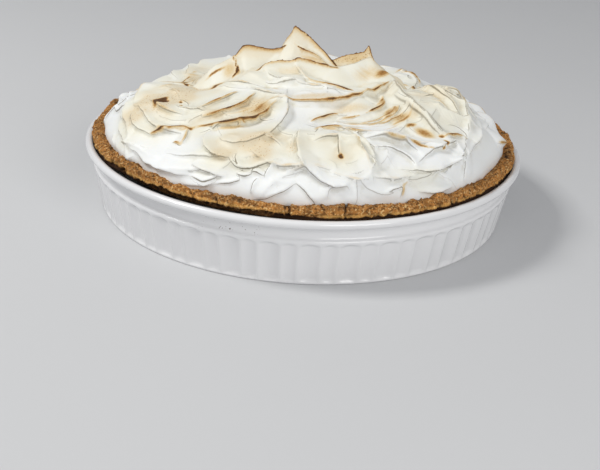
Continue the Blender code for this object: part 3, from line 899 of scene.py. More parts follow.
FOLDS = (
    # Low on the skirt.
    (-8, -111, 20, 25, -26, 2.4, 7, 1, 0.8, 0.3, 0.4),
    (14, -109, -24, 21, 44, 2.4, 6, 1, 0.8, 0.3, 0.4),
    (36, -108, 10, 26, 24, 2.8, 7, 1, 0.8, 0.2, 0.4),
    (-12, -105, -132, 11, 10, 2, 4, 0.7, 0.8),
    (-34, -110, -45, 9, 80, 1.8, 3, 0.7, 0.8),
    (-27, -110, 15, 9, -60, 1.8, 3, 0.7, 0.8),
    (-22, -114, -130, 10, 20, 1.8, 3, 0.7, 0.8),
    (-28, -125, 0, 26, 34, 1.8, 9, 0.7, 0.8),
    (-3.5, -117, -20, 18, -44, 1.8, 9, 0.7, 0.8),
    (14, -124, 112, 20, -170, 2.2, 6, 1.4, 0.5),
    (44, -113, 30, 15, 10, 2.2, 4, 0.6, 1),
    (56, -104, -98, 10, 0, 2.4, 3, 0.6, 1, 0.5),
    (27, -88, 20, 12, -60, 1.6, 3, 0.6, 0.8),
    (33, -92, 60, 9, 170, 1.8, 3, 0.6, 0.8),
    (-80, -92, -36, 36, 26, 2.2, 6, 0.9, 1),
    (-66, -108, -28, 22, 30, 2, 5, 0.8, 1),
    (62, -106, 26, 26, 10, 2.4, 6, 0.9, 1),
    (60, -2, -40, 48, -30, 4.4, 14, 1.6, 0.7, 0.1, 0.7, 0.5, 0.3),
    (84, -8, -70, 46, -20, 4.4, 12, 1.6, 0.7, 0, 0.7, 0.5, 0.3),
    (92, -52, -110, 34, 40, 3.4, 9, 1.2, 0.8),
    (106, -26, 84, 50, 24, 4, 12, 1.4, 0.8),
    (84, -76, 50, 44, 40, 2.6, 7, 1.1, 0.8),
    (96, -54, 70, 34, 30, 2.6, 7, 1.1, 0.8, 0.1),
    (98, -36, -150, 30, -60, 2.6, 7, 1.1, 0.8),
    (-100, -62, -60, 40, 24, 2.2, 6, 1, 0.8),
    (-46, -113, -14, 14, 20, 1.6, 3, 0.6, 0.9),
    (-57, -106, -60, 14, 90, 1.8, 3, 0.6, 0.9),
    # On the left.
    (-97, -25, -100, 50, 36, 3.4, 10, 1.3, 0.8),
    (-104, -44, -88, 44, 60, 3, 9, 1.3, 0.8),
    (-68, 2, 205, 50, 66, 4.4, 14, 1.6, 0.7, 0.3, 0.7, 0.5, 0.4),
    (-94, -48, -86, 32, 64, 3.4, 8, 1.1, 0.8, 0.12),
    (-90, -44, -76, 46, 52, 3.8, 9, 1.2, 0.8, 0.15),
    (-84, -44, -54, 28, 22, 4.6, 12, 1, 0.9, 0.35),
    (-68, -53, -48, 20, 40, 3.2, 6, 1, 0.7, 0.25),
    (-95, -72, -60, 50, 34, 3, 12, 1.4, 0.8),
    (-72, -88, -30, 40, 20, 2.4, 10, 1.2, 0.8),
    (-58, -62, 52, 30, -20, 3.4, 7, 0.9, 0.8, 0.6),
    (-55, -66, 2, 36, 66, 4.4, 7, 0.9, 0.9, 0.85, 0.7, 0.4),
    (-52, -74, -22, 50, 104, 5.6, 9, 1, 1, 1, 0.7, 0.4),
    (-82, -71, 30, 15, -80, 3.2, 4, 0.8, 0.9, 1.2),
    (-73, -72, 14, 14, -52, 2.8, 4, 0.8, 0.9, 0.9),
    (-69, -81, -45, 7, 0, 1.6, 3, 0.7, 0.7, 0.7, 0.2),
    (-65, -85, 68, 12, 10, 2.4, 4, 0.8, 0.9, 0.45),
    (-43, -87, -62, 76, 147, 4.6, 15, 1.6, 0.7, 0.12, 0.7, 0.5, 0.2, -58),
    (-48, -80, -118, 28, 114, 4.6, 10, 0.9, 0.9, 0.08),
    (-57, -100, -40, 20, 14, 2.6, 6, 0.8, 1),
    (-27, -99, -42, 39, 64, 3.4, 8, 1, 0.8, 0.3),
    (-37, -100, -95, 31, 97, 2, 4, 0.7, 0.9, 0, 0.7, 0.5, 0, -55),
    (-33, -100, -110, 9, 96, 1.5, 3, 0.7, 0.8),
    (-21, -91, 15, 12, -88, 2.6, 4, 0.8, 0.9, 0.1),
    # In the middle and on the right.
    (47, -37, -62, 42, 34, 3, 14, 0.8, 0.9, 0.12),
    (66, -8, -50, 38, 50, 3.8, 10, 1.2, 0.8, 0.1),
    (3, -71, 60, 22, -52, 2.6, 3.5, 0.9, 0.6, 1, 0.2),
    (14, -61, 8, 26, 46, 2, 3, 0.9, 0.6, 0.1, 0.2),
    (36, -50, 52, 14, 30, 2, 2.4, 0.8, 0.6, 0.6, 0.2),
    (18, -63, 12, 35, 70, 3, 3.2, 0.9, 0.7, 0.9, 0.2, 0.6, 0, 6),
    (14, -69, 0, 46, 64, 2.4, 3.2, 0.9, 0.7, 0.5, 0.2, 0.6, 0, 14),
    (28, -65, 12, 28, 72, 3, 2.8, 0.9, 0.7, 0.6, 0.2, 0.8, 0, 8),
    (40, -61, 20, 18, 75, 2.8, 2.4, 0.8, 0.7, 0.5, 0.2, 0.8),
    (5, -83, 54, 18, -70, 2.8, 4, 0.9, 0.7, 0.8, 0.3),
    (12, -75, -20, 67, 26, 4.4, 6, 1, 0.9, 0.5, 0.4, 0.5, 0, -14),
    (47, -16, -94, 62, 76, 8, 9, 4, 0.1, 0.1, 0.5, 0.3),
    (72, -67, 64, 24, -64, 4, 5, 0.9, 0.9, 1, 0.7, 0.4),
    (-1, -82, -94, 28, 24, 3.8, 8, 0.9, 0.9, 0, 0.6),
    (-1, -100, -78, 34, 96, 3.8, 8, 0.9, 0.9, 0.05, 0.5),
    (5, -91, 50, 44, -115, 5, 7, 1.1, 0.8, 0.3, 0.5, 0.5, 0, 28),
    (37, -111, 122, 36, -8, 4.4, 10, 1, 0.8, 0.25, 0.5, 0.6),
    (40, -104, 112, 32, 26, 2.8, 4, 0.8, 0.8, 0.15, 0.3),
    (17.5, -85, -84, 15, 0, 3.2, 6, 0.7, 0.7, 0.15, 0.3),
    (34, -90, 20, 34, -150, 3.6, 6, 0.9, 0.9, 0, 0.7, 0.5, 0, -50),
    (30, -83, 26, 38, -110, 4, 7, 0.9, 0.9, 0.1, 0.7, 0.5, 0, -35),
    (32, -98, 25, 16, -200, 3, 4, 0.8, 0.9),
    (50, -98, 8, 54, 76, 4.4, 9, 1.1, 0.9, 0.15),
    (59, -90, 62, 42, -26, 4, 9, 1.1, 0.8),
    (82, -62, -70, 30, -60, 3.4, 9, 1.1, 0.8),
    (76, -80, 40, 30, 50, 3, 8, 1.1, 0.8),
    # Round the crown.
    (-34, -24, -48, 36, 60, 3.4, 9, 1.4, 0.8, 0, 0.5, 0.5, 0.4),
    (-22, -22, -70, 26, 74, 3, 6, 1.2, 0.7, 0, 0.4, 0.5, 0.3),
    (-6, -36, -30, 26, 50, 2.6, 6, 1, 0.8, 0.3, 0.4),
    (-22, -55, -6, 90, 94, 4.8, 14, 1.1, 0.9, 0.8, 0.5, 0.6, 0.4, 12),
    (-46, -28, -30, 26, 20, 3, 7, 1, 0.8, 0.3, 0.4),
    (-30, -40, -50, 26, 30, 3, 8, 1.2, 0.6, 0, 0.4),
    (4, -40, -6, 22, -20, 1.6, 4, 1, 0.5, 0, 0.2),
)
# The crown's standing ridges, in millimetres: each runs through these points and falls in a
# hollow face to one level on its right-hand side and to another behind. Then come its lean,
# how browned it is at its start, middle and end, and how tanned its face is.
CRESTS = (
    Crest(
        ((-42, -7, 87), (-38.5, -5.5, 92.4), (-35, -5, 94), (-30, -5, 93.4), (-22, -5, 92.2),
         (-17, -5, 93.2), (-10, -6, 94.8), (-3, -10, 94.7), (4.6, -14, 92.9), (9, -16.5, 90)),
        84.5, 5.0, 78.0, 9.0, 1.2, (1.2, 1.8, 0.2), 0.4,
    ),
    Crest(
        ((-29, -23, 84.0), (-24.8, -20, 88), (-17, -18.5, 90.1), (-9.8, -18, 90.6), (-5.2, -18, 92.7),
         (3, -18.5, 91.0), (9, -19, 89.4), (16, -18.5, 87.8)),
        83.5, 5.5, 82.0, 3.0, 2.8, (0.7, 1.9, 1.6), 0.15,
    ),
    Crest(
        ((-16.5, -4, 91), (-13.6, -4, 97.1), (-10.8, -4, 101.4), (-8.5, -4, 106.0), (-4.9, -5, 104.2),
         (-1, -6, 101.9), (3, -8, 98.8), (6.3, -10, 96.1), (9.6, -12, 93.6), (12.2, -14, 91.1),
         (16, -17, 87)),
        86.5, 7.0, 79.0, 9.0, 0.4, (0.4, 1.2, 1.6), 0.3,
    ),
    Crest(
        ((11, -14, 88.5), (18.4, -12, 91.9), (25.8, -10, 93.7), (31.0, -8.6, 94.8), (33.6, -8, 98.8),
         (35.3, -9.6, 94), (39.0, -13, 86)),
        86.0, 3.0, 78.0, 7.0, 0.3, (0.8, 0.9, 0.6), 1.0,
    ),
    Crest(
        ((13, -20, 86.0), (20, -17.5, 88.2), (26, -15.5, 89.6), (31, -12, 91.4), (34.5, -10.5, 92.0)),
        82.0, 12.0, 84.0, 2.0, 0.3, (0.1, 0.0, 0.0), 0.0,
    ),
    Crest(
        ((-8, -20, 89.0), (-4, -25, 87.2), (-0.5, -31, 85.0), (3, -35.5, 84.2), (10, -38, 84.0),
         (16, -39.5, 83.4), (23, -42, 82.0), (27, -43.5, 80.0)),
        79.0, 2.2, 79.0, 12.0, 1.2, (0.0, 0.4, 1.4), 0.1,
    ),
    Crest(
        ((-39.5, -6, 89.0), (-41.2, -8.5, 87.6), (-41.0, -11, 86.0), (-39.9, -14, 84),
         (-38.7, -17, 82.6), (-38.8, -20, 81.2), (-40.3, -23, 79.6), (-43, -28, 76.9)),
        72.0, 2.0, 77.0, 5.0, 1.6, (1.5, 1.6, 0.5), 0.0,
    ),
)
# Small dents: place, size, depth and browning.
PITS = (
    (-76, -48, 2.5, 2.4, 1.4), (-62, -24, 1.8, 1.4, 1.3), (-40, -8, 2.2, 3, 0.4),
    (19, -99.5, 1.1, 1.6, 1.7), (46, -11, 2.2, 1.6, 0.8), (-70, -18, 1.3, 0.8, 1.1),
    (-67, -49, 1, 0.6, 1.1), (-66, -53, 0.9, 0.4, 0.7), (-64, -14, 1.3, 0.6, 0.8),
    (-60, -74, 1, 0.5, 1), (72, -65, 1.1, 1, 1.1), (74, -69, 1.2, 1, 1.1), (73, -73, 1, 0.8, 0.9),
    (54.5, -107, 1.4, 2, 0.5),
)
# Browned blotches: place, width, depth, turn and strength.
BLOTS = (
    (-77, -46, 1.4, 3.8, -25, 1.6), (-79, -49, 2.4, 4, -20, 0.6), (-50, -28, 4.5, 1.7, 10, 1),
    (-53, -18, 5, 1, 20, 0.9), (-44, -18, 4.5, 6, -10, 0.34), (-60, -74, 6, 1.3, 8, 0.4),
    (-50, -74, 5, 1.3, -12, 0.9), (-24, -64, 4.5, 8, -14, 0.46), (-38, -79, 8, 1.6, 4, 0.4),
    (50.5, -58, 6.5, 2.8, 42, 0.46), (56, -63.5, 3.4, 1, 35, 0.8), (43.5, -53, 4.4, 1.3, 68, 0.5),
    (64, -66, 5.5, 3, -6, 0.62), (61, -77, 6, 1, -6, 0.7), (12, -78, 6, 2.2, 10, 0.36),
    (24, -55, 14, 4, 12, 0.24), (34, -20, 12, 5, 30, 0.24), (24, -11.5, 13, 3, 8, 0.34),
    (41, -20, 5, 2.2, 50, 0.6), (4, -51, 16, 3.5, 6, 0.26), (-10, -24, 10, 3, 0, 0.2),
    (-6, -9, 7, 5, -30, 0.14), (-30, -9, 12, 3, 0, 0.12),
)
# Cream and tan washes over the sheet, with the same parts.
WASHES = (
    (-70, -36, 24, 18, 20, 0.85), (-88, -56, 20, 20, -20, 0.7), (-54, 0, 24, 24, 0, 0.85),
    (-46, -66, 24, 14, 20, 0.65), (-24, -62, 9, 10, 0, 0.9), (-28, -94, 26, 12, 0, 0.45),
    (-4, -10, 44, 24, 0, 0.6), (8, 2, 30, 14, 0, 0.45), (34, -20, 18, 22, -20, 0.45),
    (26, -60, 26, 9, 20, 0.25), (52, -60, 16, 10, -10, 0.4), (0, -96, 34, 14, 0, 0.45),
    (24, -98, 16, 12, 0, 0.35), (74, -36, 30, 30, 0, 0.45), (70, 14, 34, 30, 0, 0.5),
    (-34, -98, 24, 12, 0, 0.4), (60, -100, 20, 8, 20, 0.35), (-20, 50, 80, 40, 0, 0.75),
    (-60, 40, 40, 30, -30, 0.4),
)
# Bands of fine streaks, left by the spatula's edge.
COMBS = (
    (4, -73, 2, 64, 84, 22, 8, 1, 0.4), (-92, -38, -84, 56, 76, 0, 9, 0.7, 0.1),
    (-46, -66, 0, 34, 60, 0, 6, 0.7, 0.35), (-38, -92, -70, 70, 140, -50, 6, 0.6, 0),
    (58, -10, -56, 50, 10, 0, 9, 0.6, 0.05), (20, -100, 30, 60, 40, 0, 6, 0.5, 0),
    (-9, -8, -20, 30, -10, 0, 5, 0.7, 0.45), (22, -17, -14, 22, -50, 0, 5, 0.5, 0.1),
)


def filler_folds():
    """Short swirls all over the sheet, which the listed folds then cross; lower in front."""
    chance = np.random.default_rng(SHEET_SEED)
    for _ in range(FILLER_FOLDS):
        bearing = chance.uniform(0, 360)
        reach = FILLER_REACH * math.sqrt(chance.uniform(0.05, 1.0))
        x = reach * math.cos(math.radians(bearing))
        y = reach * math.sin(math.radians(bearing))
        in_front = y < -12 and abs(x) < 100
        length = chance.uniform(26, 54)
        turn = chance.uniform(30, 120) * (1 if chance.random() < 0.7 else -1)
        heading = bearing + 90 + chance.normal(0, 35)
        yield Fold(
            x - length / 2 * math.cos(math.radians(heading)),
            y - length / 2 * math.sin(math.radians(heading)),
            heading - turn / 2,
            length,
            turn,
            rise=chance.uniform(2.0, 4.2) * (0.55 if in_front else 1.0),
            back=chance.uniform(9, 16),
            front=chance.uniform(1.0, 2.2),
            lean=chance.uniform(0.3, 0.9),
            peak=chance.uniform(0.3, 0.7),
            toast=chance.uniform(0, 1.0) * (0 if in_front else 1),
            wipe=0.8,
            roll=chance.uniform(0, 0.6),
        )


def small_folds():
    """Little hooks and ticks where the spatula lifted, all over the sheet."""
    chance = np.random.default_rng(SHEET_SEED + 1)
    for _ in range(SMALL_FOLDS):
        bearing = chance.uniform(0, math.tau)
        reach = SMALL_REACH * math.sqrt(chance.uniform(0.09, 1.0))
        turn = chance.uniform(20, 150) * chance.choice((-1, 1))
        in_front = FRONT_FROM < bearing - math.tau < FRONT_TO
        yield Fold(
            reach * math.cos(bearing),
            reach * math.sin(bearing),
            math.degrees(bearing) + 90 + chance.normal(0, 40),
            chance.uniform(7, 20),
            turn,
            rise=chance.uniform(0.9, 2.2) * (0.6 if in_front else 1),
            back=chance.uniform(2.5, 6),
            front=chance.uniform(0.6, 1.0),
            lean=chance.uniform(0.5, 1.0),
            peak=chance.uniform(0.3, 0.8),
            toast=chance.uniform(0, 0.45) * (1 if reach < TOASTED_REACH else 0),
            wipe=0.4,
        )


def fold_line(fold, count=14):
    """Points along a fold's crest."""
    along = (np.arange(count) + 0.5) / count
    headings = np.radians(fold.heading + fold.turn * along + 4 * fold.sway * (along * along - along))
    step = fold.length / count
    x = fold.x + np.concatenate([[0.0], np.cumsum(np.cos(headings))]) * step
    y = fold.y + np.concatenate([[0.0], np.cumsum(np.sin(headings))]) * step
    return x, y


def beside(line_x, line_y, x, y):
    """For each point: distance left of the line, part of the way along, and the way right."""
    nearest = np.full(x.shape, np.inf)
    left, along = np.zeros_like(x), np.zeros_like(x)
    right_x, right_y = np.zeros_like(x), np.zeros_like(x)
    pieces = len(line_x) - 1
    for k in range(pieces):
        dx, dy = line_x[k + 1] - line_x[k], line_y[k + 1] - line_y[k]
        length = math.hypot(dx, dy)
        part = ((x - line_x[k]) * dx + (y - line_y[k]) * dy) / length**2
        held = np.clip(part, 0.0, 1.0)
        gap_x, gap_y = x - line_x[k] - held * dx, y - line_y[k] - held * dy
        gap = np.hypot(gap_x, gap_y)
        closer = gap < nearest
        nearest = np.where(closer, gap, nearest)
        side = np.where(dx * gap_y - dy * gap_x >= 0, 1.0, -1.0)
        left = np.where(closer, gap * side, left)
        along = np.where(closer, (k + held) / pieces, along)
        right_x = np.where(closer, dy / length, right_x)
        right_y = np.where(closer, -dx / length, right_y)
    return left, along, right_x, right_y


def swell(along, peak, power):
    """Rises from 0 at the start of a fold to 1 at its peak and back to 0 at its end."""
    part = np.where(along < peak, 0.5 * along / peak, 0.5 + 0.5 * (along - peak) / (1 - peak))
    return np.sin(math.pi * np.clip(part, 0, 1)) ** power


def through(points, count=36):
    """A smooth line through the given points."""
    ends = np.concatenate([2 * points[:1] - points[1:2], points, 2 * points[-1:] - points[-2:-1]])
    part = np.linspace(0, len(points) - 1, count + 1)
    first = np.minimum(part.astype(int), len(points) - 2)
    return between(*(ends[first + k] for k in range(4)), (part - first)[:, None])


def falling(top, eased, foot, away, run):
    """A hollow face that falls from a crest towards the level of its foot."""
    nearby = np.exp(-away / 4)
    height = np.maximum(top * nearby + eased * (1 - nearby) - foot, 0)
    sag = 0.1 * away + 0.02 * away**2
    return foot + height * np.exp(-away / run) + np.minimum(top - foot, 0) - sag


def draw_up(crest, x, y, z, form):
    """Stands one of the crown's ridges on the sheet, in millimetres."""
    line_x, line_y, line_z = through(np.array(crest.points, float)).T
    near = (np.abs(x - line_x.mean()) < CREST_WIDTH) & (np.abs(y - line_y.mean()) < CREST_DEPTH)
    near &= z > CREST_LEVEL
    left, along, right_x, right_y = beside(line_x, line_y, x[near], y[near])
    share = np.linspace(0, 1, len(line_z))
    top = np.interp(along, share, line_z)
    eased_z = np.convolve(np.pad(line_z, 4, "edge"), np.ones(9) / 9, "valid")
    eased = np.interp(along, share, eased_z)
    ripple = 1 + 0.15 * waver(x[near], y[near], 0.35, line_x[0])
    face = falling(top, eased, crest.foot, np.maximum(-left, 0), crest.run * ripple)
    back = falling(top, eased, crest.back_foot, np.maximum(left, 0), crest.back_run * ripple)
    behind = smooth(left, 1.5, 7.0)
    detail = np.clip(form["detail"][near], -2.5, 4.5) * (behind + 0.5 * smooth(-left, 2.0, 7.0))
    level = np.where(left < 0, face, back) + detail
    over = level - z[near]
    shown = smooth(over, -0.8, 0.8)
    z[near] = np.maximum(z[near], level) + 0.3 * np.maximum(0, 1 - np.abs(over) / 1.2) ** 2
    lean = crest.lean * shown * np.exp(-np.abs(left) / 2.2)
    x[near] += lean * right_x
    y[near] += lean * right_y
    browned = np.interp(along, (0, 0.5, 1), crest.toast) * shown
    swept = shown * (over > 0) * (1 - 0.8 * behind)
    form["toast"][near] *= 1 - swept
    # 0.6 * shown sets the painted shadow line at this crest's foot.
    mark_edge(form, near, left, browned, 0.6 * shown, swept)
    tan = shown * (crest.tan * np.exp(np.minimum(left, 0) / crest.run) + 0.3)
    form["cream"][near] = np.maximum(form["cream"][near] * (1 - 0.5 * shown), tan)


def waver(x, y, pitch, shift):
    """A slow uneven wave from -1 to 1."""
    first = np.sin(pitch * (0.81 * x + 0.59 * y) + shift)
    second = np.sin(1.3 * pitch * (0.91 * y - 0.42 * x) + 2.1 * shift + 1)
    third = np.sin(0.77 * pitch * (0.95 * x - 0.31 * y) + 3.3 * shift + 2)
    return (first + second + third) / 3


def spots(x, y, marks):
    """Sum of soft oval spots, each given as its place, width, depth, turn and weight."""
    total = np.zeros_like(x)
    for middle_x, middle_y, width, depth, degrees, weight in marks:
        turn = math.radians(degrees)
        across = ((x - middle_x) * math.cos(turn) + (y - middle_y) * math.sin(turn)) / width
        upward = ((y - middle_y) * math.cos(turn) - (x - middle_x) * math.sin(turn)) / depth
        total += weight * np.exp(-((across**2 + upward**2) ** 1.25))
    return total


def lay_fold(fold, x, y, base, form):
    """Adds one fold to the form: its height, its sideways lean and its browning."""
    line_x, line_y = fold_line(fold)
    reach = max(fold.back, fold.front * 4) + 6
    near = (x > line_x.min() - reach) & (x < line_x.max() + reach)
    near &= (y > line_y.min() - reach) & (y < line_y.max() + reach)
    if not near.any():
        return
    left, along, right_x, right_y = beside(line_x, line_y, x[near], y[near])
    size = swell(along, fold.peak, 0.6)
    size *= 1 + 0.16 * waver(x[near] + fold.x, y[near] - fold.y, 0.33, 0.13 * fold.x)
    behind = np.clip(np.maximum(left, 0) / fold.back, 0, 1)
    before = np.maximum(-left, 0)
    ledge = np.where(left > 0, (1 - behind) ** 2, np.exp(-before / fold.front))
    bulge = np.sqrt(np.maximum(0, 1 - (before / (2.2 * fold.front)) ** 2))
    rolled = np.where(left > 0, 1 - behind**2, bulge)
    section = ledge * (1 - fold.roll) + rolled * fold.roll

    edge = np.clip((left + 0.4) / 0.8, 0, 1)
    swept = fold.wipe * np.clip(1.6 * size, 0, 1) * edge * (1 - smooth(behind, 0, 1))
    height = form["height"][near]
    level = base[near] + 0.3 * (height - base[near])
    form["height"][near] = height * (1 - swept) + level * swept + fold.rise * size * section
    lean = np.where(left > 0, np.exp(-left / 3.0), np.exp(-before / (fold.front + 0.6)))
    lean = 0.65 * lean * fold.lean * fold.rise * size
    for name, right in (("across", right_x), ("along", right_y)):
        form[name][near] = form[name][near] * (1 - swept) + lean * right
    patchy = 0.86 + 0.34 * waver(x[near], y[near], 0.9, fold.heading)
    browned = fold.toast * patchy * swell(along, fold.peak, 0.5)
    form["toast"][near] *= 1 - 0.85 * swept
    # depth sets how dark the painted shadow line at this fold's foot is.
    depth = np.clip(size * fold.rise / 3, 0, 1) + (0.9 * size if fold.front < 0.75 else 0)
    mark_edge(form, near, left, browned, depth, swept)


def mark_edge(form, near, left, browned, depth, swept):
    """Notes how far each point is from the nearest edge, how browned that edge is, and how deep, which sets
    the painted shadow line at its foot.
    """
    halo = 0.5 * browned * np.exp(-((np.abs(left - 0.3) / 1.7) ** 1.6))
    form["toast"][near] = np.maximum(form["toast"][near], halo)
    away = np.abs(left) + 2 * (1 - depth)
    kept = form["edge_away"][near] + 4 * swept
    first = away < kept
    close = np.exp(-((left / 1.9) ** 2))
    form["edge_away"][near] = np.where(first, away, kept)
    form["edge"][near] = np.where(first, left, form["edge"][near])
    for name, value in (("edge_toast", browned), ("edge_shadow", depth)):
        form[name][near] = np.where(first, value * close, form[name][near] * (1 - swept))


def whipped_form(u, v):
    """The folded sheet at points u, v: height, sideways shift, browning and cream."""
    x = u + 1.1 * waver(u, v, 0.21, 0.3) + 0.35 * waver(u, v, 0.7, 1.3)
    y = v + 1.1 * waver(v, u, 0.19, 2.3) + 0.35 * waver(v, u, 0.66, 0.7)
    base = spots(u, v, LOBES)
    form = {
        "height": base.copy(),
        "edge_away": np.full(u.shape, 9.0),
    }
    for name in ("across", "along", "toast", "edge", "edge_toast", "edge_shadow"):
        form[name] = np.zeros_like(u)
    for fold in (*filler_folds(), *small_folds(), *(Fold(*row) for row in FOLDS)):
        lay_fold(fold, x, y, base, form)
    for middle_x, middle_y, size, depth, toast in PITS:
        dent = np.exp(-((((x - middle_x) ** 2 + (y - middle_y) ** 2) / size**2) ** 1.5))
        form["height"] -= depth * dent
        form["toast"] = np.maximum(form["toast"], toast * dent)
    form["detail"] = form["height"] - base
    form["cream"] = spots(x, y, WASHES) * (1 + 0.35 * waver(x, y, 0.4, 0.9))
    form.update(zip(LOOKS[-4:], combed(x, y)))
    return form


def combed(x, y):
    """The spatula's fine streaks: place across and along them, clearness and browning."""
    across, along, clear, browned = (np.zeros_like(x) for _ in range(4))
    for number, row in enumerate(COMBS):
        comb = Comb(*row)
        left, part, _, _ = beside(*fold_line(comb), x, y)
        shown = comb.clear * hump(left, 0, comb.width) * swell(part, 0.5, 0.6)
        first = shown > clear
        across = np.where(first, left + 50 * number, across)
        along = np.where(first, part * comb.length, along)
        clear = np.where(first, shown, clear)
        browned = np.where(first, shown * comb.browned, browned)
    return across, along, clear, browned


def seam_waver(angle):
    """How the seam with the crust wanders, in millimetres."""
    return 0.9 * np.sin(5 * angle + 0.6) + 0.7 * np.sin(9 * angle + 2.1) + 0.4 * np.sin(17 * angle)


def dome_section(seam_radius):
    """Slopes from the dome's top to its seam, and how far down the sheet each is, in millimetres."""
    slopes = np.linspace(0.0, math.pi / 2, SECTION_STEPS)
    steps = np.hypot(np.diff(seam_radius * np.sin(slopes)), np.diff(DOME_HEIGHT * np.cos(slopes)))
    return slopes, np.concatenate([[0.0], np.cumsum(steps)]) / MM


def draped(form, u, v, seam_radius):
    """Places the sheet over the dome, in metres."""
    slopes, spread = dome_section(seam_radius)
    edge = smooth(spread[-1] - np.hypot(u, v), 0.0, 6.0)
    x, y = u + form["across"] * edge, v + form["along"] * edge
    slope = np.interp(np.hypot(x, y), spread, slopes)
    turn = np.arctan2(y, x)
    tilt = np.arctan2(np.sin(slope) / seam_radius, np.cos(slope) / DOME_HEIGHT)
    rise = form["height"] * edge * MM
    radius = seam_radius * np.sin(slope)
    radius = radius + rise * np.sin(tilt) + seam_waver(turn) * MM * (radius / seam_radius) ** 6
    x, y = radius * np.cos(turn) / MM, radius * np.sin(turn) / MM
    z = (SEAM_LEVEL + DOME_HEIGHT * np.cos(slope) + rise * np.cos(tilt)) / MM
    for crest in CRESTS:
        draw_up(crest, x, y, z, form)
    form["toast"] = np.maximum(form["toast"], spots(u, v, BLOTS))
    return np.stack([x, y, z], -1) * MM


def folded_body(seam_radius):
    """The closed draped sheet: its mesh, its points, and their looks by name."""
    _, spread = dome_section(seam_radius)
    reach = np.linspace(0.0, spread[-1], SHEET_RINGS + 1)[1:]
    turns = np.linspace(0, math.tau, SHEET_COLUMNS, endpoint=False)
    u = np.concatenate([[1e-6], (reach[:, None] * np.cos(turns)).ravel()])
    v = np.concatenate([[0.0], (reach[:, None] * np.sin(turns)).ravel()])
    form = whipped_form(u, v)
    top = draped(form, u, v, seam_radius)
    foot_radius = seam_radius - 0.2 * MM + seam_waver(turns) * MM
    x, y = foot_radius * np.cos(turns), foot_radius * np.sin(turns)
    foot = np.stack([x, y, 0 * turns + MERINGUE_BED], -1)
    points = np.concatenate([top, foot, [[0.0, 0.0, MERINGUE_BED]]])

    rings = 1 + np.arange((SHEET_RINGS + 1) * SHEET_COLUMNS).reshape(SHEET_RINGS + 1, SHEET_COLUMNS)
    after = np.roll(rings, -1, axis=1)
    quads = np.stack([rings[:-1], rings[1:], after[1:], after[:-1]], -1).reshape(-1, 4)
    cap = np.stack([0 * rings[0], rings[0], after[0]], -1)
    base = np.stack([0 * rings[-1] + len(points) - 1, after[-1], rings[-1]], -1)
    unseen = np.zeros(SHEET_COLUMNS + 1)
    looks = {name: np.concatenate([form[name], unseen]) for name in LOOKS}
    faces = [*quads.tolist(), *cap.tolist(), *base.tolist()]
    return mesh_from("sheet", points.tolist(), faces), points, looks


def even_faces(mesh, grain):
    """The same body in even faces, thinned where it is smooth, with its hidden bed as one fan."""
    body = new_piece("sheet", mesh)
    remesh = body.modifiers.new("Even", "REMESH")
    remesh.mode = "VOXEL"
    remesh.voxel_size = grain
    evened = made_plain(body)
    thin = body.modifiers.new("Thin", "DECIMATE")
    thin.ratio = MOST_FACES / (2 * len(evened.polygons))
    thin.use_collapse_triangulate = True
    thinned = made_plain(body)
    bpy.data.objects.remove(body)
    points = coordinates(thinned)
    faces = read(thinned.loops, "vertex_index", 1, np.int32).reshape(-1, 3)
    faces = faces[(points[faces, 2] > MERINGUE_BED + 1.5 * grain).any(axis=1)]
    edges = np.concatenate([faces[:, [k, (k + 1) % 3]] for k in range(3)])
    codes = edges[:, 0].astype(np.int64) * len(points) + edges[:, 1]
    facing = edges[:, 1].astype(np.int64) * len(points) + edges[:, 0]
    open_edges = edges[~np.isin(codes, facing)]
    middle = len(points)
    points = np.concatenate([points, [[0.0, 0.0, points[open_edges, 2].mean()]]])
    fan = np.stack([open_edges[:, 1], open_edges[:, 0], np.full(len(open_edges), middle)], -1)
    used, flat = np.unique(np.concatenate([faces, fan]), return_inverse=True)
    return mesh_from("meringue_swirls", points[used].tolist(), flat.reshape(-1, 3).tolist())


def neighbour_mean(values, edges, count):
    """For each point, the mean of the values at the points that share an edge with it."""
    total = np.zeros((count, values.shape[1]))
    for start, end in ((0, 1), (1, 0)):
        for column in range(values.shape[1]):
            weights = values[edges[:, end], column]
            total[:, column] += np.bincount(edges[:, start], weights, count)
    shared = np.bincount(edges.ravel(), minlength=count)
    return total / np.maximum(shared, 1)[:, None]


def ridge_height(mesh, rounds=7):
    """How far each point stands above a smoothed copy of the surface, in millimetres."""
    points = coordinates(mesh)
    count = len(points)
    edges = read(mesh.edges, "vertices", 2, np.int32)
    normals = read(mesh.vertex_normals, "vector", 3)
    eased = points
    for _ in range(rounds):
        eased = 0.5 * (eased + neighbour_mean(eased, edges, count))
    stand = ((points - eased) * normals).sum(axis=1, keepdims=True) / MM
    return neighbour_mean(stand, edges, count)[:, 0]


def from_nearest(mesh, points, looks, count=4):
    """The looks at every point of the mesh, shared out from the nearest of the given points."""
    tree = KDTree(len(points))
    for index, point in enumerate(points.tolist()):
        tree.insert(point, index)
    tree.balance()
    found = [tree.find_n(place, count) for place in coordinates(mesh).tolist()]
    index = np.array([[near[1] for near in nearest] for nearest in found])
    weight = 1 / (np.array([[near[2] for near in nearest] for nearest in found]) + 0.05 * MM)
    weight /= weight.sum(axis=1, keepdims=True)
    return {name: (values[index] * weight).sum(axis=1) for name, values in looks.items()}


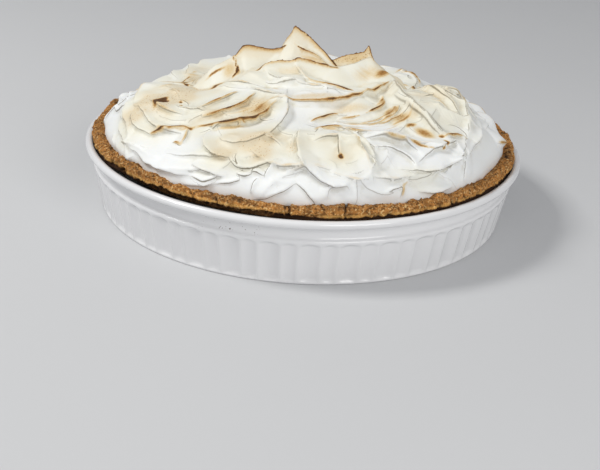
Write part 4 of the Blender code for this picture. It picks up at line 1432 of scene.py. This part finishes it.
class OBJECT_OT_pie_meringue(bpy.types.Operator):
    """Makes the swirled meringue with its two drawn-up peaks and its browned ridges"""

    bl_idname = "object.pie_meringue"
    bl_label = "Make Meringue"

    def execute(self, context):
        settings = context.scene.pie_meringue
        sheet, points, looks = folded_body(settings.seam_radius)
        mesh = even_faces(sheet, settings.grain)
        looks = from_nearest(mesh, points, looks)
        places = coordinates(mesh)
        ridge = ridge_height(mesh, 7)
        fine = ridge_height(mesh, 2)
        exposure = smooth(places[:, 2], 58 * MM, 84 * MM)
        uneven = 0.5 + 0.5 * waver(places[:, 0] / MM, places[:, 1] / MM, 0.25, 0.4)
        scorched = np.clip((ridge - 0.10) / 0.5, 0, 1) * (0.15 + 0.6 * exposure) * uneven
        # Painted shade: concave places are tinted cream and darker, where shade would fall.
        tucked_shade = np.clip((-ridge - 0.08) / 0.45, 0, 1)
        cream = looks["cream"] + 0.2 * exposure + 0.4 * scorched + tucked_shade * (0.25 + 0.5 * exposure)
        looks["toast"] = np.maximum(looks["toast"], scorched)
        looks["cream"] = np.clip(cream, 0, 1.2)
        # Painted shade tint for the tucks, from coarse and fine concavity.
        looks["crease_shade"] = np.clip(0.7 * tucked_shade + np.clip((-fine - 0.02) / 0.16, 0, 1), 0, 1)
        for name, values in looks.items():
            add_values(mesh, name, values)
        mesh.materials.append(toasted_meringue(settings))
        belongs(new_piece("meringue_swirls", mesh), "toasted_meringue", "meringue")
        return {"FINISHED"}


# ---- stage

CAMERA_DOWN = math.radians(24.32)
CAMERA_ROLL = math.radians(3.445)
CAMERA_SIDE = math.radians(-0.11)
CAMERA_LENS = 67.8
BACKDROP_AT = 1.35
FLOOR_SIZE = 3.6
WALL_BEND = 0.2
WALL_HEIGHT = 1.9
MIDDLE = Vector((0, 0, 0.06))


def soft_light(name, place, size, power, colour):
    """A square light that faces the pie."""
    lamp = bpy.data.lights.new(name, "AREA")
    lamp.size = size
    lamp.energy = power
    lamp.color = colour
    light = new_piece(name, lamp)
    light.location = place
    light.rotation_euler = (MIDDLE - Vector(place)).to_track_quat("-Z", "Y").to_euler()


def studio_sweep(name, floor_colour, wall_colour):
    """The floor and, behind it, a wall joined to it by a wide curve."""
    half = FLOOR_SIZE / 2
    back = BACKDROP_AT - WALL_BEND
    curve = [
        (back + WALL_BEND * math.sin(turn), WALL_BEND - WALL_BEND * math.cos(turn))
        for turn in np.linspace(0, math.pi / 2, 12)
    ]
    floor_points = [(-half, -half, 0), (half, -half, 0), (half, back, 0), (-half, back, 0)]
    floor = mesh_from(name + "_floor", floor_points, [(0, 1, 2, 3)])
    floor.materials.append(plain_matte("pale_floor", floor_colour))
    section = curve + [(BACKDROP_AT, WALL_HEIGHT)]
    wall_points = [(side, y, z) for y, z in section for side in (-half, half)]
    wall_faces = [(2 * k, 2 * k + 1, 2 * k + 3, 2 * k + 2) for k in range(len(section) - 1)]
    wall = mesh_from(name + "_wall", wall_points, wall_faces)
    wall.materials.append(plain_matte("pale_wall", wall_colour))
    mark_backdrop(new_piece(name + "_floor", floor), new_piece(name + "_wall", wall))


class SCENE_OT_pie_stage(bpy.types.Operator):
    """Sets out the pale floor, the backdrop, the soft lights and the camera"""

    bl_idname = "scene.pie_stage"
    bl_label = "Set Stage"

    def execute(self, context):
        settings = context.scene.pie_stage
        studio_sweep("studio", settings.floor, settings.backdrop)
        soft_light("window_light", (-0.85, -0.15, 1.05), 0.34, 9.0, (1.0, 0.995, 0.975))
        soft_light("fill_light", (0.55, -1.05, 0.55), 0.7, 5.6, (1.0, 0.99, 0.97))
        world = bpy.data.worlds.new("soft_daylight")
        world.use_nodes = True
        sky = world.node_tree.nodes["Background"]
        sky.inputs["Color"].default_value = (0.97, 0.98, 1.0, 1.0)
        sky.inputs["Strength"].default_value = 0.47
        context.scene.world = world
        context.scene.view_settings.view_transform = "Standard"

        camera = new_piece("camera", bpy.data.cameras.new("camera"))
        camera.data.lens = CAMERA_LENS
        camera.location = (0.0, -settings.camera_distance, settings.camera_height)
        heading = Matrix.Rotation(CAMERA_SIDE, 3, "Z")
        looking = Matrix.Rotation(math.radians(90) - CAMERA_DOWN, 3, "X")
        rolled = Matrix.Rotation(CAMERA_ROLL, 3, "Z")
        camera.rotation_euler = (heading @ looking @ rolled).to_euler()
        context.scene.camera = camera
        return {"FINISHED"}


# ---- panel and run


# Each group: its name in the scene, its settings and its operator.
GROUPS = (
    ("pie_dish", PieDishSettings, OBJECT_OT_pie_dish),
    ("pie_crust", PieCrustSettings, OBJECT_OT_pie_crust),
    ("pie_meringue", PieMeringueSettings, OBJECT_OT_pie_meringue),
    ("pie_stage", PieStageSettings, SCENE_OT_pie_stage),
)


class VIEW3D_PT_lemon_meringue_pie(bpy.types.Panel):
    bl_label = "Lemon Meringue Pie"
    bl_space_type = "VIEW_3D"
    bl_region_type = "UI"
    bl_category = "Pie"

    def draw(self, context):
        for name, settings, operator in GROUPS:
            box = self.layout.box()
            for label in settings.__annotations__:
                box.prop(getattr(context.scene, name), label)
            box.operator(operator.bl_idname)


def register():
    for name, settings, operator in GROUPS:
        bpy.utils.register_class(settings)
        bpy.utils.register_class(operator)
        setattr(bpy.types.Scene, name, PointerProperty(type=settings))
    bpy.utils.register_class(VIEW3D_PT_lemon_meringue_pie)


def unregister():
    bpy.utils.unregister_class(VIEW3D_PT_lemon_meringue_pie)
    for name, settings, operator in reversed(GROUPS):
        delattr(bpy.types.Scene, name)
        bpy.utils.unregister_class(operator)
        bpy.utils.unregister_class(settings)


def main():
    register()
    bpy.ops.object.pie_dish()
    bpy.ops.object.pie_crust()
    bpy.ops.object.pie_meringue()
    bpy.ops.scene.pie_stage()
    low, high = (tuple(corner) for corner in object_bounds())
    sizes = {"cad": [list(CAD_LOW), list(CAD_HIGH)], "visual": [list(low), list(high)]}


if __name__ == "__main__":
    main()
